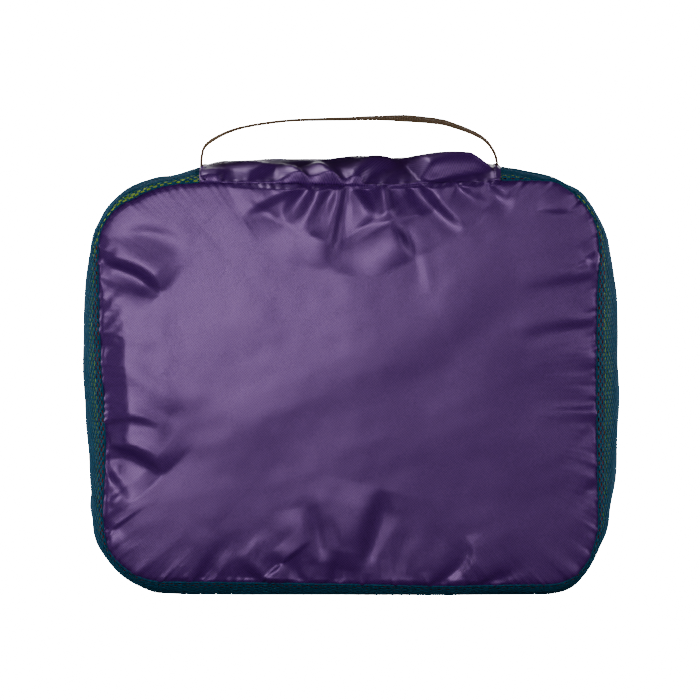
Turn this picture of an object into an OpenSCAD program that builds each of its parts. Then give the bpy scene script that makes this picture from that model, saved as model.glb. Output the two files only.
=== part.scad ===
// Soft packing cube standing on its flat lower gusset, handle up.
// +Z up, X along the width, the plain back panel faces -Y and the zipped lid faces +Y.
// All lengths in mm. Fabric parts are plain shells of the right size and place.

/* [Bag] */
// half width of the back panel at its seam
back_hw = 127.5; // [115:0.5:140]
// height of the back panel's lower seam above the floor
back_z0 = 6.6; // [5.6:0.1:8]
// height of the back panel's upper seam
back_z1 = 211.5; // [190:0.5:230]
// corner radius of the back panel
back_r = 32; // [26:1:38]
// half width of the zipped front at its seam
front_hw = 133; // [127:0.5:146]
// height of the front's lower seam
front_z0 = 2.6; // [2:0.1:4]
// height of the front's upper seam
front_z1 = 217; // [196:1:236]
// corner radius of the front
front_r = 44; // [40:1:48]
// half the distance between the back and front seams
half_depth = 30; // [26:1:36]
// how far both panels crown outward
crown = 7.6; // [3:0.1:12]
// how far the gusset swells between its seams, as a share of the usual swell
swell = 1; // [0.6:0.05:1.3]
// thickness of the fabric and mesh shells
wall = 0.8; // [0.6:0.1:1]

/* [Top panel and handle] */
// half length of the solid panel let into the top of the gusset
top_half = 77; // [70:0.5:80]
// width of the folded hem at each end of it
hem_w = 3; // [2:0.5:4]
// handle webbing width
strap_w = 20; // [16:1:22]
// handle webbing thickness
strap_t = 1.4; // [1.2:0.1:1.8]
// height of the handle's swing axis above the upper seam
swing_h = 17.5; // [17.5:0.5:20]

/* [Zip] */
// distance from the front seam to the zip's centre line
zip_in = 16.1; // [15.5:0.1:18]
// half the slot between the two rows of teeth
slot_h = 0.6; // [0.6:0.05:0.7]
// width of one row of teeth
teeth_w = 2.7; // [2.4:0.1:2.8]
// height of the teeth above the tape
teeth_h = 2; // [1.6:0.1:2]
// height of the fold line that the lid opens about
fold_z = 45; // [44:0.5:48]
// half gap at the fold line
fold_gap = 0.9; // [0.8:0.1:1.2]

/* [Node] */
// sub-part to draw

/* [Hidden] */
$fn = 64;

purple = [0.36, 0.27, 0.47];
teal = [0.11, 0.38, 0.5];
lime = [0.68, 0.8, 0.42];
maroon = [0.38, 0.15, 0.13];
brown = [0.42, 0.33, 0.25];
steel = [0.5, 0.5, 0.53];

rim_w = 9.5;                      // lime rim between the front seam and the zip
tape_t = 0.6;                     // zip tape thickness
zip_x = front_hw - zip_in;        // centre line of the zip's straight side runs
chain_z = fold_z - fold_gap;      // top of the closed chain and of the lower band
slider_z = 33;                    // middle of a parked slider
slider_hl = 4.6;                  // half length and half width of a slider
slider_y = half_depth + teeth_h + 0.5;    // inner face of a slider's outer plate
pivot_y = half_depth + 4.95;      // pull pivot, in front of the slider
pivot_z = slider_z + 1.5;
strap_x = top_half - 2;           // the handle's legs
swing_z = back_z1 + swing_h;
hub_r = 8.2;                      // the legs' feet are rounded about the swing axis

// ---- gusset surface: stations run round the left half, from the top panel to the floor ----

// one station: [point on back seam, point on front seam, outward direction, swell]
function at(s, f, a, b) = [s, f, [cos(a), sin(a)], b * swell];
function mix2(p, q, f) = p + (q - p) * f;

back_c = [back_hw - back_r, back_z0 + back_r, back_z1 - back_r];
front_c = [front_hw - front_r, front_z0 + front_r, front_z1 - front_r];

function arc(c, cz, r, a) = [-c + r * cos(a), cz + r * sin(a)];
function corner(a, up, b) =
    at(arc(back_c[0], up ? back_c[2] : back_c[1], back_r, a),
       arc(front_c[0], up ? front_c[2] : front_c[1], front_r, a), a, b);

side_swell = [[0, 3.2], [0.25, 5.6], [0.5, 6.8], [0.75, 5.2], [1, 2.8]];
left_stations = concat(
    [for (k = [0:3]) at(mix2([-top_half, back_z1], [-back_c[0], back_z1], k / 3),
                        mix2([-top_half, front_z1], [-front_c[0], front_z1], k / 3),
                        90, 5 - 0.7 * k)],
    [for (k = [1:8]) corner(90 + k * 11.25, true, lookup(k, [[0, 2.9], [4, 1.2], [8, 3.2]]))],
    [for (k = [1:7]) at(mix2([-back_hw, back_c[2]], [-back_hw, back_c[1]], k / 8),
                        mix2([-front_hw, front_c[2]], [-front_hw, front_c[1]], k / 8),
                        180, lookup(k / 8, side_swell))],
    [for (k = [0:8]) corner(180 + k * 11.25, false, lookup(k, [[0, 2.8], [4, 0.8], [8, 5]]))]);
bottom_stations = [for (k = [0:8])
    at(mix2([-back_c[0], back_z0], [back_c[0], back_z0], k / 8),
       mix2([-front_c[0], front_z0], [front_c[0], front_z0], k / 8),
       270, lookup(k, [[0, 5], [2, 8], [6, 8], [8, 5]]))];
function top_stations(x0, x1, n) = [for (k = [0:n])
    let (x = x0 + (x1 - x0) * k / n)
    at([x, back_z1], [x, front_z1], 90, 5 + 2.4 * (1 - pow(x / top_half, 2)))];

// a point of the swollen surface, t from -1 at the back seam to 1 at the front, lifted by off
function skin(s, t, off) = let (
    p = mix2(s[0], s[1], (t + 1) / 2) + s[2] * (s[3] * (1 - t * t) + off))
    [p[0], half_depth * t, max(p[1], -off)];

// closed shell between two grids of the same size
module shell(a, b) {
    n = len(a);
    m = len(a[0]);
    k = n * m;
    points = concat([for (row = a) each row], [for (row = b) each row]);
    flat = [for (i = [0:n - 2], j = [0:m - 2]) let (p = i * m + j) each
        [[p, p + m, p + 1], [p + 1, p + m, p + m + 1],
         [k + p, k + p + 1, k + p + m], [k + p + 1, k + p + m + 1, k + p + m]]];
    ends = [for (j = [0:m - 2]) let (q = (n - 1) * m + j) each
        [[j, j + 1, k + j], [j + 1, k + j + 1, k + j],
         [q, k + q, q + 1], [q + 1, k + q, k + q + 1]]];
    sides = [for (i = [0:n - 2]) let (p = i * m, q = i * m + m - 1) each
        [[p, k + p, p + m], [p + m, k + p, k + p + m],
         [q, q + m, k + q], [q + m, k + q + m, k + q]]];
    polyhedron(points, concat(flat, ends, sides));
}

module skin_strip(stations, off_in, off_out) {
    ts = [for (j = [-7:7]) j / 7];
    shell([for (s = stations) [for (t = ts) skin(s, t, off_out)]],
          [for (s = stations) [for (t = ts) skin(s, t, off_in)]]);
}

// ---- flat front and back outlines, drawn with X across and Z up ----

module stand(y) translate([0, y, 0]) rotate([90, 0, 0]) children();

module round_rect(hw, z0, z1, r) {
    translate([-hw, z0 + r]) square([2 * hw, z1 - z0 - 2 * r]);
    translate([r - hw, z0]) square([2 * (hw - r), z1 - z0]);
    for (x = [r - hw, hw - r], z = [z0 + r, z1 - r]) translate([x, z]) circle(r);
}

module front_inset(d) round_rect(front_hw - d, front_z0 + d, front_z1 - d, front_r - d);
module back_inset(d) round_rect(back_hw - d, back_z0 + d, back_z1 - d, back_r - d);
module above(z) translate([-200, z]) square([400, 300]);

// band of the front between two insets, above z, from y0 to y1
module front_band(d0, d1, z, y0, y1) stand(y1) linear_extrude(y1 - y0) intersection() {
    difference() {
        front_inset(d0);
        front_inset(d1);
    }
    above(z);
}

// ---- crowned panels: rings shrink from the outline towards the middle ----

function arc_points(cx, cz, r, a0) = [for (k = [0:8])
    [cx + r * cos(a0 + k * 11.25), cz + r * sin(a0 + k * 11.25)]];
function edge_points(p, q, n) = [for (k = [1:n - 1]) mix2(p, q, k / n)];
function outline(hw, z0, z1, r, r0) = concat(
    arc_points(hw - r, z1 - r, r, 0), edge_points([hw - r, z1], [r - hw, z1], 7),
    arc_points(r - hw, z1 - r, r, 90), edge_points([-hw, z1 - r], [-hw, z0 + r0], 7),
    r0 > 0 ? arc_points(r0 - hw, z0 + r0, r0, 180) : [[-hw, z0]],
    edge_points([r0 - hw, z0], [hw - r0, z0], 9),
    r0 > 0 ? arc_points(hw - r0, z0 + r0, r0, 270) : [[hw, z0]],
    edge_points([hw, z0 + r0], [hw, z1 - r], 7));

// crowned plate of thickness wall; side is -1 for the back and 1 for the front
module crowned(pts, mid, rise, side) {
    shrink = [1, 0.96, 0.9, 0.8, 0.64, 0.42, 0.2];
    n = len(pts);
    m = len(shrink);
    k = n * m + 1;
    function ring(y0) = concat(
        [for (s = shrink, p = pts) let (q = mix2(mid, p, s))
            [q[0], side * (y0 + rise * (1 - pow(s, 2.6))), q[1]]],
        [[mid[0], side * (y0 + rise), mid[1]]]);
    function quads(o) = [for (i = [0:m - 2], j = [0:n - 1])
        let (p = i * n + j, q = i * n + (j + 1) % n) each
        [[o + p, o + q, o + p + n], [o + q, o + q + n, o + p + n]]];
    function cap(o) = [for (j = [0:n - 1])
        [o + (m - 1) * n + j, o + (m - 1) * n + (j + 1) % n, o + k - 1]];
    function flip(faces) = [for (f = faces) [f[0], f[2], f[1]]];
    rim = [for (j = [0:n - 1]) let (i = (j + 1) % n) each [[j, k + j, i], [i, k + j, k + i]]];
    polyhedron(concat(ring(half_depth + wall), ring(half_depth)),
        concat(quads(0), cap(0), flip(quads(k)), flip(cap(k)), rim));
}

// ---- fabric pieces ----

module back_panel() color(purple)
    crowned(outline(back_hw, back_z0, back_z1, back_r, back_r),
        [0, (back_z0 + back_z1) / 2], crown, -1);

module back_seam_binding() color(maroon) stand(6.8 - half_depth) linear_extrude(6.4)
    difference() {
        back_inset(1.3);
        back_inset(2.2);
    }

module front_seam_binding() color(lime) stand(half_depth - 0.9) linear_extrude(6.4)
    difference() {
        front_inset(1.3);
        front_inset(2.2);
    }

module mesh_gusset_left() color(teal) skin_strip(left_stations, -wall, 0);
module mesh_gusset_right() mirror([1, 0, 0]) mesh_gusset_left();
module mesh_gusset_bottom() color(teal) skin_strip(bottom_stations, -wall, 0);
module top_panel() color(purple)
    skin_strip(top_stations(-top_half, top_half, 14), -wall, 0);
module top_panel_hem_left() color(purple)
    skin_strip(top_stations(-strap_x + 1.2, -strap_x + 1.2 + hem_w, 1), 0.05, 0.6);
module top_panel_hem_right() mirror([1, 0, 0]) top_panel_hem_left();

module front_rim() color(lime)
    front_band(0, rim_w, fold_z - fold_gap, half_depth, half_depth + wall);

module front_lower_band() color(lime) stand(half_depth + wall) linear_extrude(wall)
    difference() {
        front_inset(0);
        above(fold_z - fold_gap);
        for (x = [-zip_x, zip_x]) translate([x - 5.6, 24]) square([11.2, 60]);
    }

module lid_panel() color(lime)
    crowned(outline(front_hw - 22.7, fold_z + fold_gap, front_z1 - 22.7, front_r - 22.7, 0),
        [0, (fold_z + front_z1 - 22) / 2], crown, 1);

// ---- zip ----

module body_zip_tape() color(maroon)
    front_band(5, zip_in - slot_h, fold_z - fold_gap, half_depth - tape_t, half_depth);
module body_zip_coil() color(maroon)
    front_band(zip_in - slot_h - teeth_w, zip_in - slot_h, fold_z - fold_gap,
        half_depth, half_depth + teeth_h);
module lid_zip_tape() color(maroon)
    front_band(zip_in + slot_h, 27, fold_z + fold_gap, half_depth - tape_t, half_depth);
module lid_zip_coil() color(maroon)
    front_band(zip_in + slot_h, zip_in + slot_h + teeth_w, fold_z + fold_gap,
        half_depth, half_depth + teeth_h);

// closed chain below the fold, where the slider parks
module zip_chain_right() color(maroon) {
    difference() {
        translate([zip_x - 6.5, half_depth - tape_t, 24]) cube([13, tape_t, chain_z - 24]);
        translate([zip_x - slot_h, 0, 30]) cube([2 * slot_h, 2 * half_depth, 60]);
    }
    for (x = [-slot_h - teeth_w, slot_h])
        translate([zip_x + x, half_depth, 25.2]) cube([teeth_w, teeth_h, chain_z - 26.9]);
}
module zip_chain_left() mirror([1, 0, 0]) zip_chain_right();

module zip_end_tab_right() color(lime)
    translate([zip_x - 5.5, half_depth + wall, 19.4]) cube([11, 0.7, 5]);
module zip_end_tab_left() mirror([1, 0, 0]) zip_end_tab_right();

module slider_plate(y) translate([zip_x, y + 1.2, slider_z]) rotate([90, 0, 0])
    linear_extrude(1.2) intersection() {
        square(2 * slider_hl, center = true);
        circle(slider_hl * 1.22);
    }

// plates above and below the tape, side flanges, post in the slot, bail for the pull
module zip_slider_right() color(steel) {
    slider_plate(slider_y);
    slider_plate(half_depth - 2.3);
    for (x = [-slider_hl, slider_hl - 0.85])
        translate([zip_x + x, half_depth + 0.4, slider_z - 3]) cube([0.85, teeth_h + 0.2, 6]);
    translate([zip_x - 0.25, half_depth - 1.2, slider_z + 1.6]) cube([0.5, teeth_h + 1.8, 2.8]);
    difference() {
        translate([zip_x - 0.7, slider_y + 1.1, pivot_z - 1.9]) cube([1.4, 3.15, 5.9]);
        translate([zip_x - 2, slider_y + 1.5, pivot_z - 0.9]) cube([4, 1.85, 3.9]);
    }
}
module zip_slider_left() mirror([1, 0, 0]) zip_slider_right();

// metal tab hung on the bail, pivot at the origin, hanging towards -Z
module hung() translate([zip_x, pivot_y, pivot_z]) children();

module pull_tab_right() color(steel) hung() {
    translate([0, 0.5, 0]) rotate([90, 0, 0]) linear_extrude(1) difference() {
        union() {
            translate([-3.3, -5.4]) square([6.6, 5.4]);
            translate([-3.9, -10.9]) square([7.8, 6.3]);
            translate([-3.2, -11.6]) square([6.4, 1]);
        }
        translate([-1.3, -5]) square([2.6, 6]);
        translate([-3.1, -9.8]) square([6.2, 2.4]);
    }
    translate([-3.3, 0, 0]) rotate([0, 90, 0]) cylinder(h = 6.6, r = 0.55);
}
module pull_tab_left() mirror([1, 0, 0]) pull_tab_right();

// webbing folded through the tab's slot and stitched to itself
module pull_webbing_right() color(brown) hung()
    translate([-2.8, 0, 0]) rotate([90, 0, 90]) linear_extrude(5.6) difference() {
        translate([-1.5, -27]) square([3, 18.3]);
        translate([-0.7, -11.9]) square([1.4, 2.4]);
    }
module pull_webbing_left() mirror([1, 0, 0]) pull_webbing_right();

// ---- handle ----

// middle of the webbing from the right leg's foot to the top, as [x, z] from the swing axis
strap_path = [[strap_x, -9], [strap_x, -3], [strap_x - 0.6, 0.5], [strap_x - 2.6, 3.6],
    [strap_x - 6, 6], [strap_x - 11, 7.9], [strap_x - 20, 10], [strap_x - 32, 12],
    [strap_x - 46, 13.4], [strap_x - 60, 14.2], [0, 14.6]];
strap_line = concat(strap_path,
    [for (k = [len(strap_path) - 2:-1:0]) [-strap_path[k][0], strap_path[k][1]]]);

function unit(v) = v / norm(v);
function normal(p, k) = let (
    a = p[max(k - 1, 0)], b = p[min(k + 1, len(p) - 1)], d = unit(b - a)) [d[1], -d[0]];
function beside(p, d) = [for (k = [0:len(p) - 1]) p[k] + normal(p, k) * d];
function backward(v) = [for (k = [len(v) - 1:-1:0]) v[k]];

module handle_strap() color(brown) translate([0, 0, swing_z]) intersection() {
    translate([0, strap_w / 2, 0]) rotate([90, 0, 0]) linear_extrude(strap_w)
        polygon(concat(beside(strap_line, strap_t / 2),
            backward(beside(strap_line, -strap_t / 2))));
    translate([-100, 0, 0]) rotate([90, 0, 90]) linear_extrude(200)
        polygon([[-hub_r, -10], [hub_r, -10], [hub_r, 0], [strap_w / 2, 6.5],
            [strap_w / 2, 40], [-strap_w / 2, 40], [-strap_w / 2, 6.5], [-hub_r, 0]]);
    union() {
        translate([-90, -15, 0]) cube([180, 30, 30]);
        translate([-90, 0, 0]) rotate([0, 90, 0]) cylinder(h = 180, r = hub_r);
    }
}

// sewn foot of the webbing, low enough for the leg to swing over it
module handle_anchor_right() color(brown)
    translate([strap_x - strap_t / 2, 0, 0]) rotate([90, 0, 90]) linear_extrude(strap_t)
        polygon(concat(
            [for (k = [-4:4]) let (
                p = skin(top_stations(0, strap_x, 1)[1], k / 4 * hub_r / half_depth, 0.1))
                [p[1], p[2]]],
            [[hub_r, swing_z - hub_r - 0.4], [-hub_r, swing_z - hub_r - 0.4]]));
module handle_anchor_left() mirror([1, 0, 0]) handle_anchor_right();

back_panel();
back_seam_binding();
mesh_gusset_left();
mesh_gusset_bottom();
mesh_gusset_right();
top_panel();
top_panel_hem_left();
top_panel_hem_right();
front_rim();
front_lower_band();
front_seam_binding();
body_zip_tape();
body_zip_coil();
zip_chain_left();
zip_chain_right();
zip_end_tab_left();
zip_end_tab_right();
handle_anchor_left();
handle_anchor_right();
handle_strap();
lid_panel();
lid_zip_tape();
lid_zip_coil();
zip_slider_left();
zip_slider_right();
pull_tab_left();
pull_tab_right();
pull_webbing_left();
pull_webbing_right();
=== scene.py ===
"""Packing cube: looks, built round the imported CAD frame."""

import math

import bmesh
import bpy
import numpy as np
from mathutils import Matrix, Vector


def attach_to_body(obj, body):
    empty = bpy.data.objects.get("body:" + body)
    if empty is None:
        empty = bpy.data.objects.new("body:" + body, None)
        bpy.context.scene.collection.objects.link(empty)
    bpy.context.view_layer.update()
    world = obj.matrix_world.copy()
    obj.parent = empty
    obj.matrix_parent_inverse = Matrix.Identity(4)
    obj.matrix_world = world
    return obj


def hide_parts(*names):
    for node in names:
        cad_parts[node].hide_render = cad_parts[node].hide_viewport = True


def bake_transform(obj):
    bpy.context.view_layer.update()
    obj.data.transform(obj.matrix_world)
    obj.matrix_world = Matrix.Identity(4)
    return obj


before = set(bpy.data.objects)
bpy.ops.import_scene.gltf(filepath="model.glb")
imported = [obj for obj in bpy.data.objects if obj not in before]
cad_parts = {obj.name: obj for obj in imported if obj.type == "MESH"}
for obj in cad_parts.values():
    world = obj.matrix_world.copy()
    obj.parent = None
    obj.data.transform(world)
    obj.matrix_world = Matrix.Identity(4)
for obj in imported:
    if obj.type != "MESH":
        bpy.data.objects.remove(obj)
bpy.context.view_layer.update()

# ---------------------------------------------------------------- mesh helpers (millimetres in)


def make(name, verts, faces, material, cloth=None, smooth=True):
    """A mesh object from points in mm. cloth is a per-point weave coordinate in mm."""
    me = bpy.data.meshes.new(name)
    me.from_pydata((np.asarray(verts, float) * 0.001).tolist(), [], [list(f) for f in faces])
    me.polygons.foreach_set("use_smooth", [smooth] * len(me.polygons))
    if cloth is not None:
        a = me.attributes.new("cloth", "FLOAT_VECTOR", "POINT")
        c = np.zeros((len(verts), 3))
        c[:, : np.asarray(cloth).shape[1]] = np.asarray(cloth) * 0.001
        a.data.foreach_set("vector", c.ravel())
    me.update()
    o = bpy.data.objects.new(name, me)
    bpy.context.scene.collection.objects.link(o)
    me.materials.append(material)
    return o


def face_out(o):
    """Make all faces look outward."""
    bm = bmesh.new()
    bm.from_mesh(o.data)
    bmesh.ops.recalc_face_normals(bm, faces=bm.faces)
    bm.to_mesh(o.data)
    bm.free()


def attach(o, body, slot, node=None, flat=None, **said):
    """Ride a piece on its body and hide the node it replaces. slot and flat, its flat size in metres, are not used."""
    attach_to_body(o, body)
    if node:
        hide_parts(node)
    return o


def grid_normals(g, closed=False):
    if closed:
        du = np.roll(g, -1, 0) - np.roll(g, 1, 0)
    else:
        du = np.gradient(g, axis=0)
    dv = np.gradient(g, axis=1)
    n = np.cross(du, dv)
    return n / np.maximum(np.linalg.norm(n, axis=2, keepdims=True), 1e-9)


def grid_faces(nu, nv, closed, base=0, flip=False):
    i = np.arange(nu if closed else nu - 1)[:, None]
    j = np.arange(nv - 1)[None, :]
    i2 = (i + 1) % nu
    a, b, c, d = i * nv + j, i2 * nv + j, i2 * nv + j + 1, i * nv + j + 1
    q = np.stack([a, d, c, b] if flip else [a, b, c, d], -1).reshape(-1, 4) + base
    return q


def tube_faces(n, m, closed=False):
    """Faces of n rings of m points, with a cap at each end unless it closes on itself."""
    q = grid_faces(n, m + 1, closed)
    faces = ((q // (m + 1)) * m + (q % (m + 1)) % m).tolist()
    return faces if closed else faces + [list(range(m)), list(range((n - 1) * m, n * m))[::-1]]


def toward_lid(g):
    """1 where the grid's own normals point to the lid side, else -1."""
    return 1.0 if grid_normals(g)[..., 1].mean() > 0 else -1.0


def shell(name, g, thick, material, closed=False, cloth=None, side=1.0):
    """A closed sheet of cloth from a grid of points; it grows inward (against side*normal)."""
    nu, nv = g.shape[:2]
    n = grid_normals(g, closed) * side
    inner = g - n * thick
    k = nu * nv
    v = np.concatenate([g.reshape(-1, 3), inner.reshape(-1, 3)])
    f = [grid_faces(nu, nv, closed, 0, side < 0), grid_faces(nu, nv, closed, k, side > 0)]
    iu = np.arange(nu if closed else nu - 1)
    for j, fl in ((0, side > 0), (nv - 1, side < 0)):
        a, b = iu * nv + j, (iu + 1) % nu * nv + j
        f.append(np.stack([b, b + k, a + k, a] if fl else [a, a + k, b + k, b], -1))
    if not closed:
        jv = np.arange(nv - 1)
        for i, fl in ((0, side < 0), (nu - 1, side > 0)):
            a, b = i * nv + jv, i * nv + jv + 1
            f.append(np.stack([a, a + k, b + k, b] if not fl else [b, b + k, a + k, a], -1))
    faces = np.concatenate(f)
    c = None
    if cloth is not None:
        cl = np.asarray(cloth).reshape(k, -1)
        c = np.concatenate([cl, cl])
    return make(name, v, faces, material, c)


def wave_noise(p, scale, seed):
    """Smooth noise of points p (n,k) from a few sine waves, about -1..1."""
    r = np.random.default_rng(seed)
    out = np.zeros(p.shape[:-1])
    for _ in range(14):
        d = r.normal(size=p.shape[-1])
        d /= np.linalg.norm(d)
        out += np.sin(p @ d * (2 * math.pi / scale) * r.uniform(0.6, 1.5) + r.uniform(0, 6.28))
    return out / 4.5


# ---------------------------------------------------------------- the bag's outline and gusset

TOTAL = 875.5
SEGMENTS = [92.2, 59.7, 133.9, 59.7, 184.5, 59.7, 133.9, 59.7, 92.2]
DEPTH = 30.0  # half the distance between the two seams
CENTRE_Z = 109.0
NYLON_THICK = 0.45
COIL_PITCH = 1.35
TOP_ACROSS = 66.0  # nominal width of the top panel from seam to seam
WHITE_TO_CAMERA = 40.0  # strength of the floor and sky as the camera sees them


def ring_table():
    """Stations round the bag from the top middle, anticlockwise seen from the back panel."""
    sx, s0, s1, sr = 127.5 - 32, 6.6 + 32, 211.5 - 32, 32.0
    fx, f0, f1, fr = 133 - 44, 2.6 + 44, 217 - 44, 44.0
    stops = [
        ((0, s1), (-sx, s1), (0, f1), (-fx, f1), 90, 90),
        ((-sx, s1), (-sx, s1), (-fx, f1), (-fx, f1), 90, 180),
        ((-sx, s1), (-sx, s0), (-fx, f1), (-fx, f0), 180, 180),
        ((-sx, s0), (-sx, s0), (-fx, f0), (-fx, f0), 180, 270),
        ((-sx, s0), (sx, s0), (-fx, f0), (fx, f0), 270, 270),
        ((sx, s0), (sx, s0), (fx, f0), (fx, f0), 270, 360),
        ((sx, s0), (sx, s1), (fx, f0), (fx, f1), 360, 360),
        ((sx, s1), (sx, s1), (fx, f1), (fx, f1), 360, 450),
        ((sx, s1), (0, s1), (fx, f1), (0, f1), 450, 450),
    ]
    rows, start = [], 0.0
    for size, (a, b, c, d, u, w) in zip(SEGMENTS, stops):
        for f in np.linspace(0, 1, 25)[: None if size == SEGMENTS[-1] and start > 700 else 24]:
            p = [a[0] + (b[0] - a[0]) * f, a[1] + (b[1] - a[1]) * f]
            q = [c[0] + (d[0] - c[0]) * f, c[1] + (d[1] - c[1]) * f]
            rows.append([start + size * f, *p, *q, math.radians(u + (w - u) * f)])
        start += size
    return np.array(rows), sr, fr


RING, BACK_R, FRONT_R = ring_table()


def station(length):
    """Corner centres of the back and front outlines and the outward angle at a length round the bag."""
    l = np.mod(length, TOTAL)
    c = [np.interp(l, RING[:, 0], RING[:, k]) for k in range(1, 6)]
    return c[0], c[1], c[2], c[3], c[4]


def top_length(x):
    """Length round the bag of a point of the top panel."""
    return np.mod(-x * 92.2 / 95.5, TOTAL)


def smooth_table(points, sigma):
    l = np.arange(0, TOTAL, 0.5)
    x, y = np.array(points, float).T
    v = np.interp(l, x, y, period=TOTAL)
    k = np.exp(-0.5 * (np.arange(-80, 81) * 0.5 / sigma) ** 2)
    v = np.convolve(np.concatenate([v[-80:], v, v[:80]]), k / k.sum(), "valid")
    return l, v


# how far the back seam wanders outward of the plain outline, and how far the gusset swells past it
SEAM = smooth_table([(0, 0), (25, 0.5), (74, 1.5), (87, 0.5), (99, -2), (113, -3.1), (125, -0.6), (143, 1.1),
    (162, 1.3), (184, 0.8), (202, 0.2), (224, -1.3), (245, -2.3), (263, -1.8), (277, -0.8), (293, -1.3),
    (303, -0.3), (315, -1), (341, -1.3), (375, -1), (438, 0), (482, 1.1), (532, 0.1), (546, 2), (555, 2.1),
    (565, 1.5), (576, -0.3), (589, -0.2), (619, -0.8), (646, -1.3), (673, -1.3), (703, -0.8), (716, 0.2),
    (731, -0.1), (743, 0.7), (754, 0.8), (764, 1.7), (772, 3.7), (779, 2.7), (802, 2.5), (826, 1.5),
    (851, 0.5)], 2.5)
SWELL = smooth_table([(0, 9.5), (40, 10), (63, 9), (74, 5.9), (81, 4.4), (87, 1.8), (103, -0.2), (115, 0.4),
    (128, 0.6), (140, 2), (148, 3.5), (160, 5.9), (171, 7.4), (192, 8.4), (205, 8.9), (226, 8.4), (248, 6.4),
    (270, 4.8), (281, 3.8), (299, 3.8), (307, 2.9), (318, 3.2), (332, 4.1), (342, 6), (355, 7.4), (386, 8.4),
    (438, 8.4), (471, 7.9), (515, 6.4), (542, 6.7), (546, 7.2), (553, 5.6), (564, 3.3), (575, 2.7), (591, 4.8),
    (604, 7.4), (622, 8.9), (642, 10), (671, 9.4), (698, 8.9), (711, 6.9), (730, 2.8), (746, 1.3), (756, 1.8),
    (765, 0.8), (770, 1.9), (782, 2.4), (794, 5.4), (802, 6.4), (811, 8.5), (850, 10.5)], 3.0)


def lookup(table, length):
    return np.interp(np.mod(length, TOTAL), table[0], table[1], period=TOTAL)


def back_outline(length, inset=0.0):
    sx, sz, _, _, a = station(length)
    r = BACK_R + lookup(SEAM, length) - inset
    return sx + r * np.cos(a), sz + r * np.sin(a)


EDGE_OUT, EDGE_Z = 1.5, 2.0


def front_outline(length, inset=0.0):
    """The front's outline, or a line that far inside it. The outermost line is the seam to the gusset."""
    sx, sz, fx, fz, a = station(length)
    # the corners of the front sag a little at the top, so they lie in line with the back's
    past = (fx - sx) * np.cos(a) + (fz - sz) * np.sin(a) + FRONT_R + EDGE_OUT - BACK_R
    cap = 0.9 * (lookup(SWELL, length) + 0.7) - 2.9 * np.maximum(np.sin(a), 0)
    drop = np.clip((np.sin(a) + 0.1) / 0.35, 0, 1) * np.maximum(past - cap, 0)
    if np.ndim(inset) == 0 and inset == 0:
        r = FRONT_R + EDGE_OUT - drop
        return fx + r * np.cos(a), np.maximum(fz + r * np.sin(a), EDGE_Z)
    r = FRONT_R - inset - drop * np.clip(1 - inset / 9.5, 0, 1)
    return fx + r * np.cos(a), fz + r * np.sin(a)


def gusset_table():
    """Surface of the swollen gusset on a fine table: length by evenly spaced rows across."""
    ls = np.arange(0, TOTAL + 0.5, 1.0)[:, None]
    t = np.sin(np.linspace(-1, 1, 121) * math.pi / 2)[None, :]
    sx, sz, _, _, a = station(ls)
    swell = BACK_R + lookup(SWELL, ls) + 0.7
    swell = swell + 0.35 * wave_noise(np.stack([ls + 0 * t, 40 * t + 0 * ls], -1), 34, 3)
    mx, mz = sx + swell * np.cos(a), sz + swell * np.sin(a)
    bx, bz = back_outline(ls, -0.2)
    fx, fz = front_outline(ls)
    ex, ez = np.where(t < 0, bx, fx), np.where(t < 0, bz, fz)
    corner = np.exp(-(((ls - 113) / 33) ** 4)) + np.exp(-(((ls - 757) / 18) ** 4))
    turn = np.where(t < 0, 1.02 - 0.6 * corner, 1.3) * np.maximum(np.hypot(mx - ex, mz - ez), 2.8)
    start = np.exp(-DEPTH / turn)
    share = (np.exp(-DEPTH * (1 - np.abs(t)) / turn) - start) / (1 - start)
    x, z = mx + (ex - mx) * share, mz + (ez - mz) * share
    z = np.maximum(z, 0.42 + (EDGE_Z - 0.42) * np.where(t > 0, share, 0))
    p = np.stack([x, DEPTH * t + 0 * x, z], -1)
    d = np.concatenate([np.zeros((len(ls), 1)), np.cumsum(np.linalg.norm(np.diff(p, axis=1), axis=2), 1)], 1)
    rows = np.linspace(0, 1, 97)
    out = np.empty((len(ls), len(rows), 3))
    for i in range(len(ls)):
        for k in range(3):
            out[i, :, k] = np.interp(rows * d[i, -1], d[i], p[i, :, k])
    return out


GUSSET = gusset_table()
GUSSET_N = -grid_normals(GUSSET)
_mid = GUSSET_N[0, 48]
if _mid[2] < 0:
    GUSSET_N = -GUSSET_N


def on_gusset(length, across, lift=0.0):
    """Points on the gusset; across runs from 0 at the back seam to 1 at the front seam."""
    l = np.mod(np.asarray(length, float), TOTAL)
    v = np.clip(np.asarray(across, float), 0, 1) * (GUSSET.shape[1] - 1)
    l, v = np.broadcast_arrays(l, v)
    i = np.minimum(l.astype(int), GUSSET.shape[0] - 2)
    j = np.minimum(v.astype(int), GUSSET.shape[1] - 2)
    f, g = (l - i)[..., None], (v - j)[..., None]

    def mix(a):
        return (a[i, j] * (1 - f) * (1 - g) + a[i + 1, j] * f * (1 - g) + a[i, j + 1] * (1 - f) * g
            + a[i + 1, j + 1] * f * g)

    p, n = mix(GUSSET), mix(GUSSET_N)
    n = n / np.maximum(np.linalg.norm(n, axis=-1, keepdims=True), 1e-9)
    q = p + n * np.asarray(lift)[..., None]
    q[..., 2] = np.maximum(q[..., 2], 0.02)
    return q


# ---------------------------------------------------------------- materials


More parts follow.
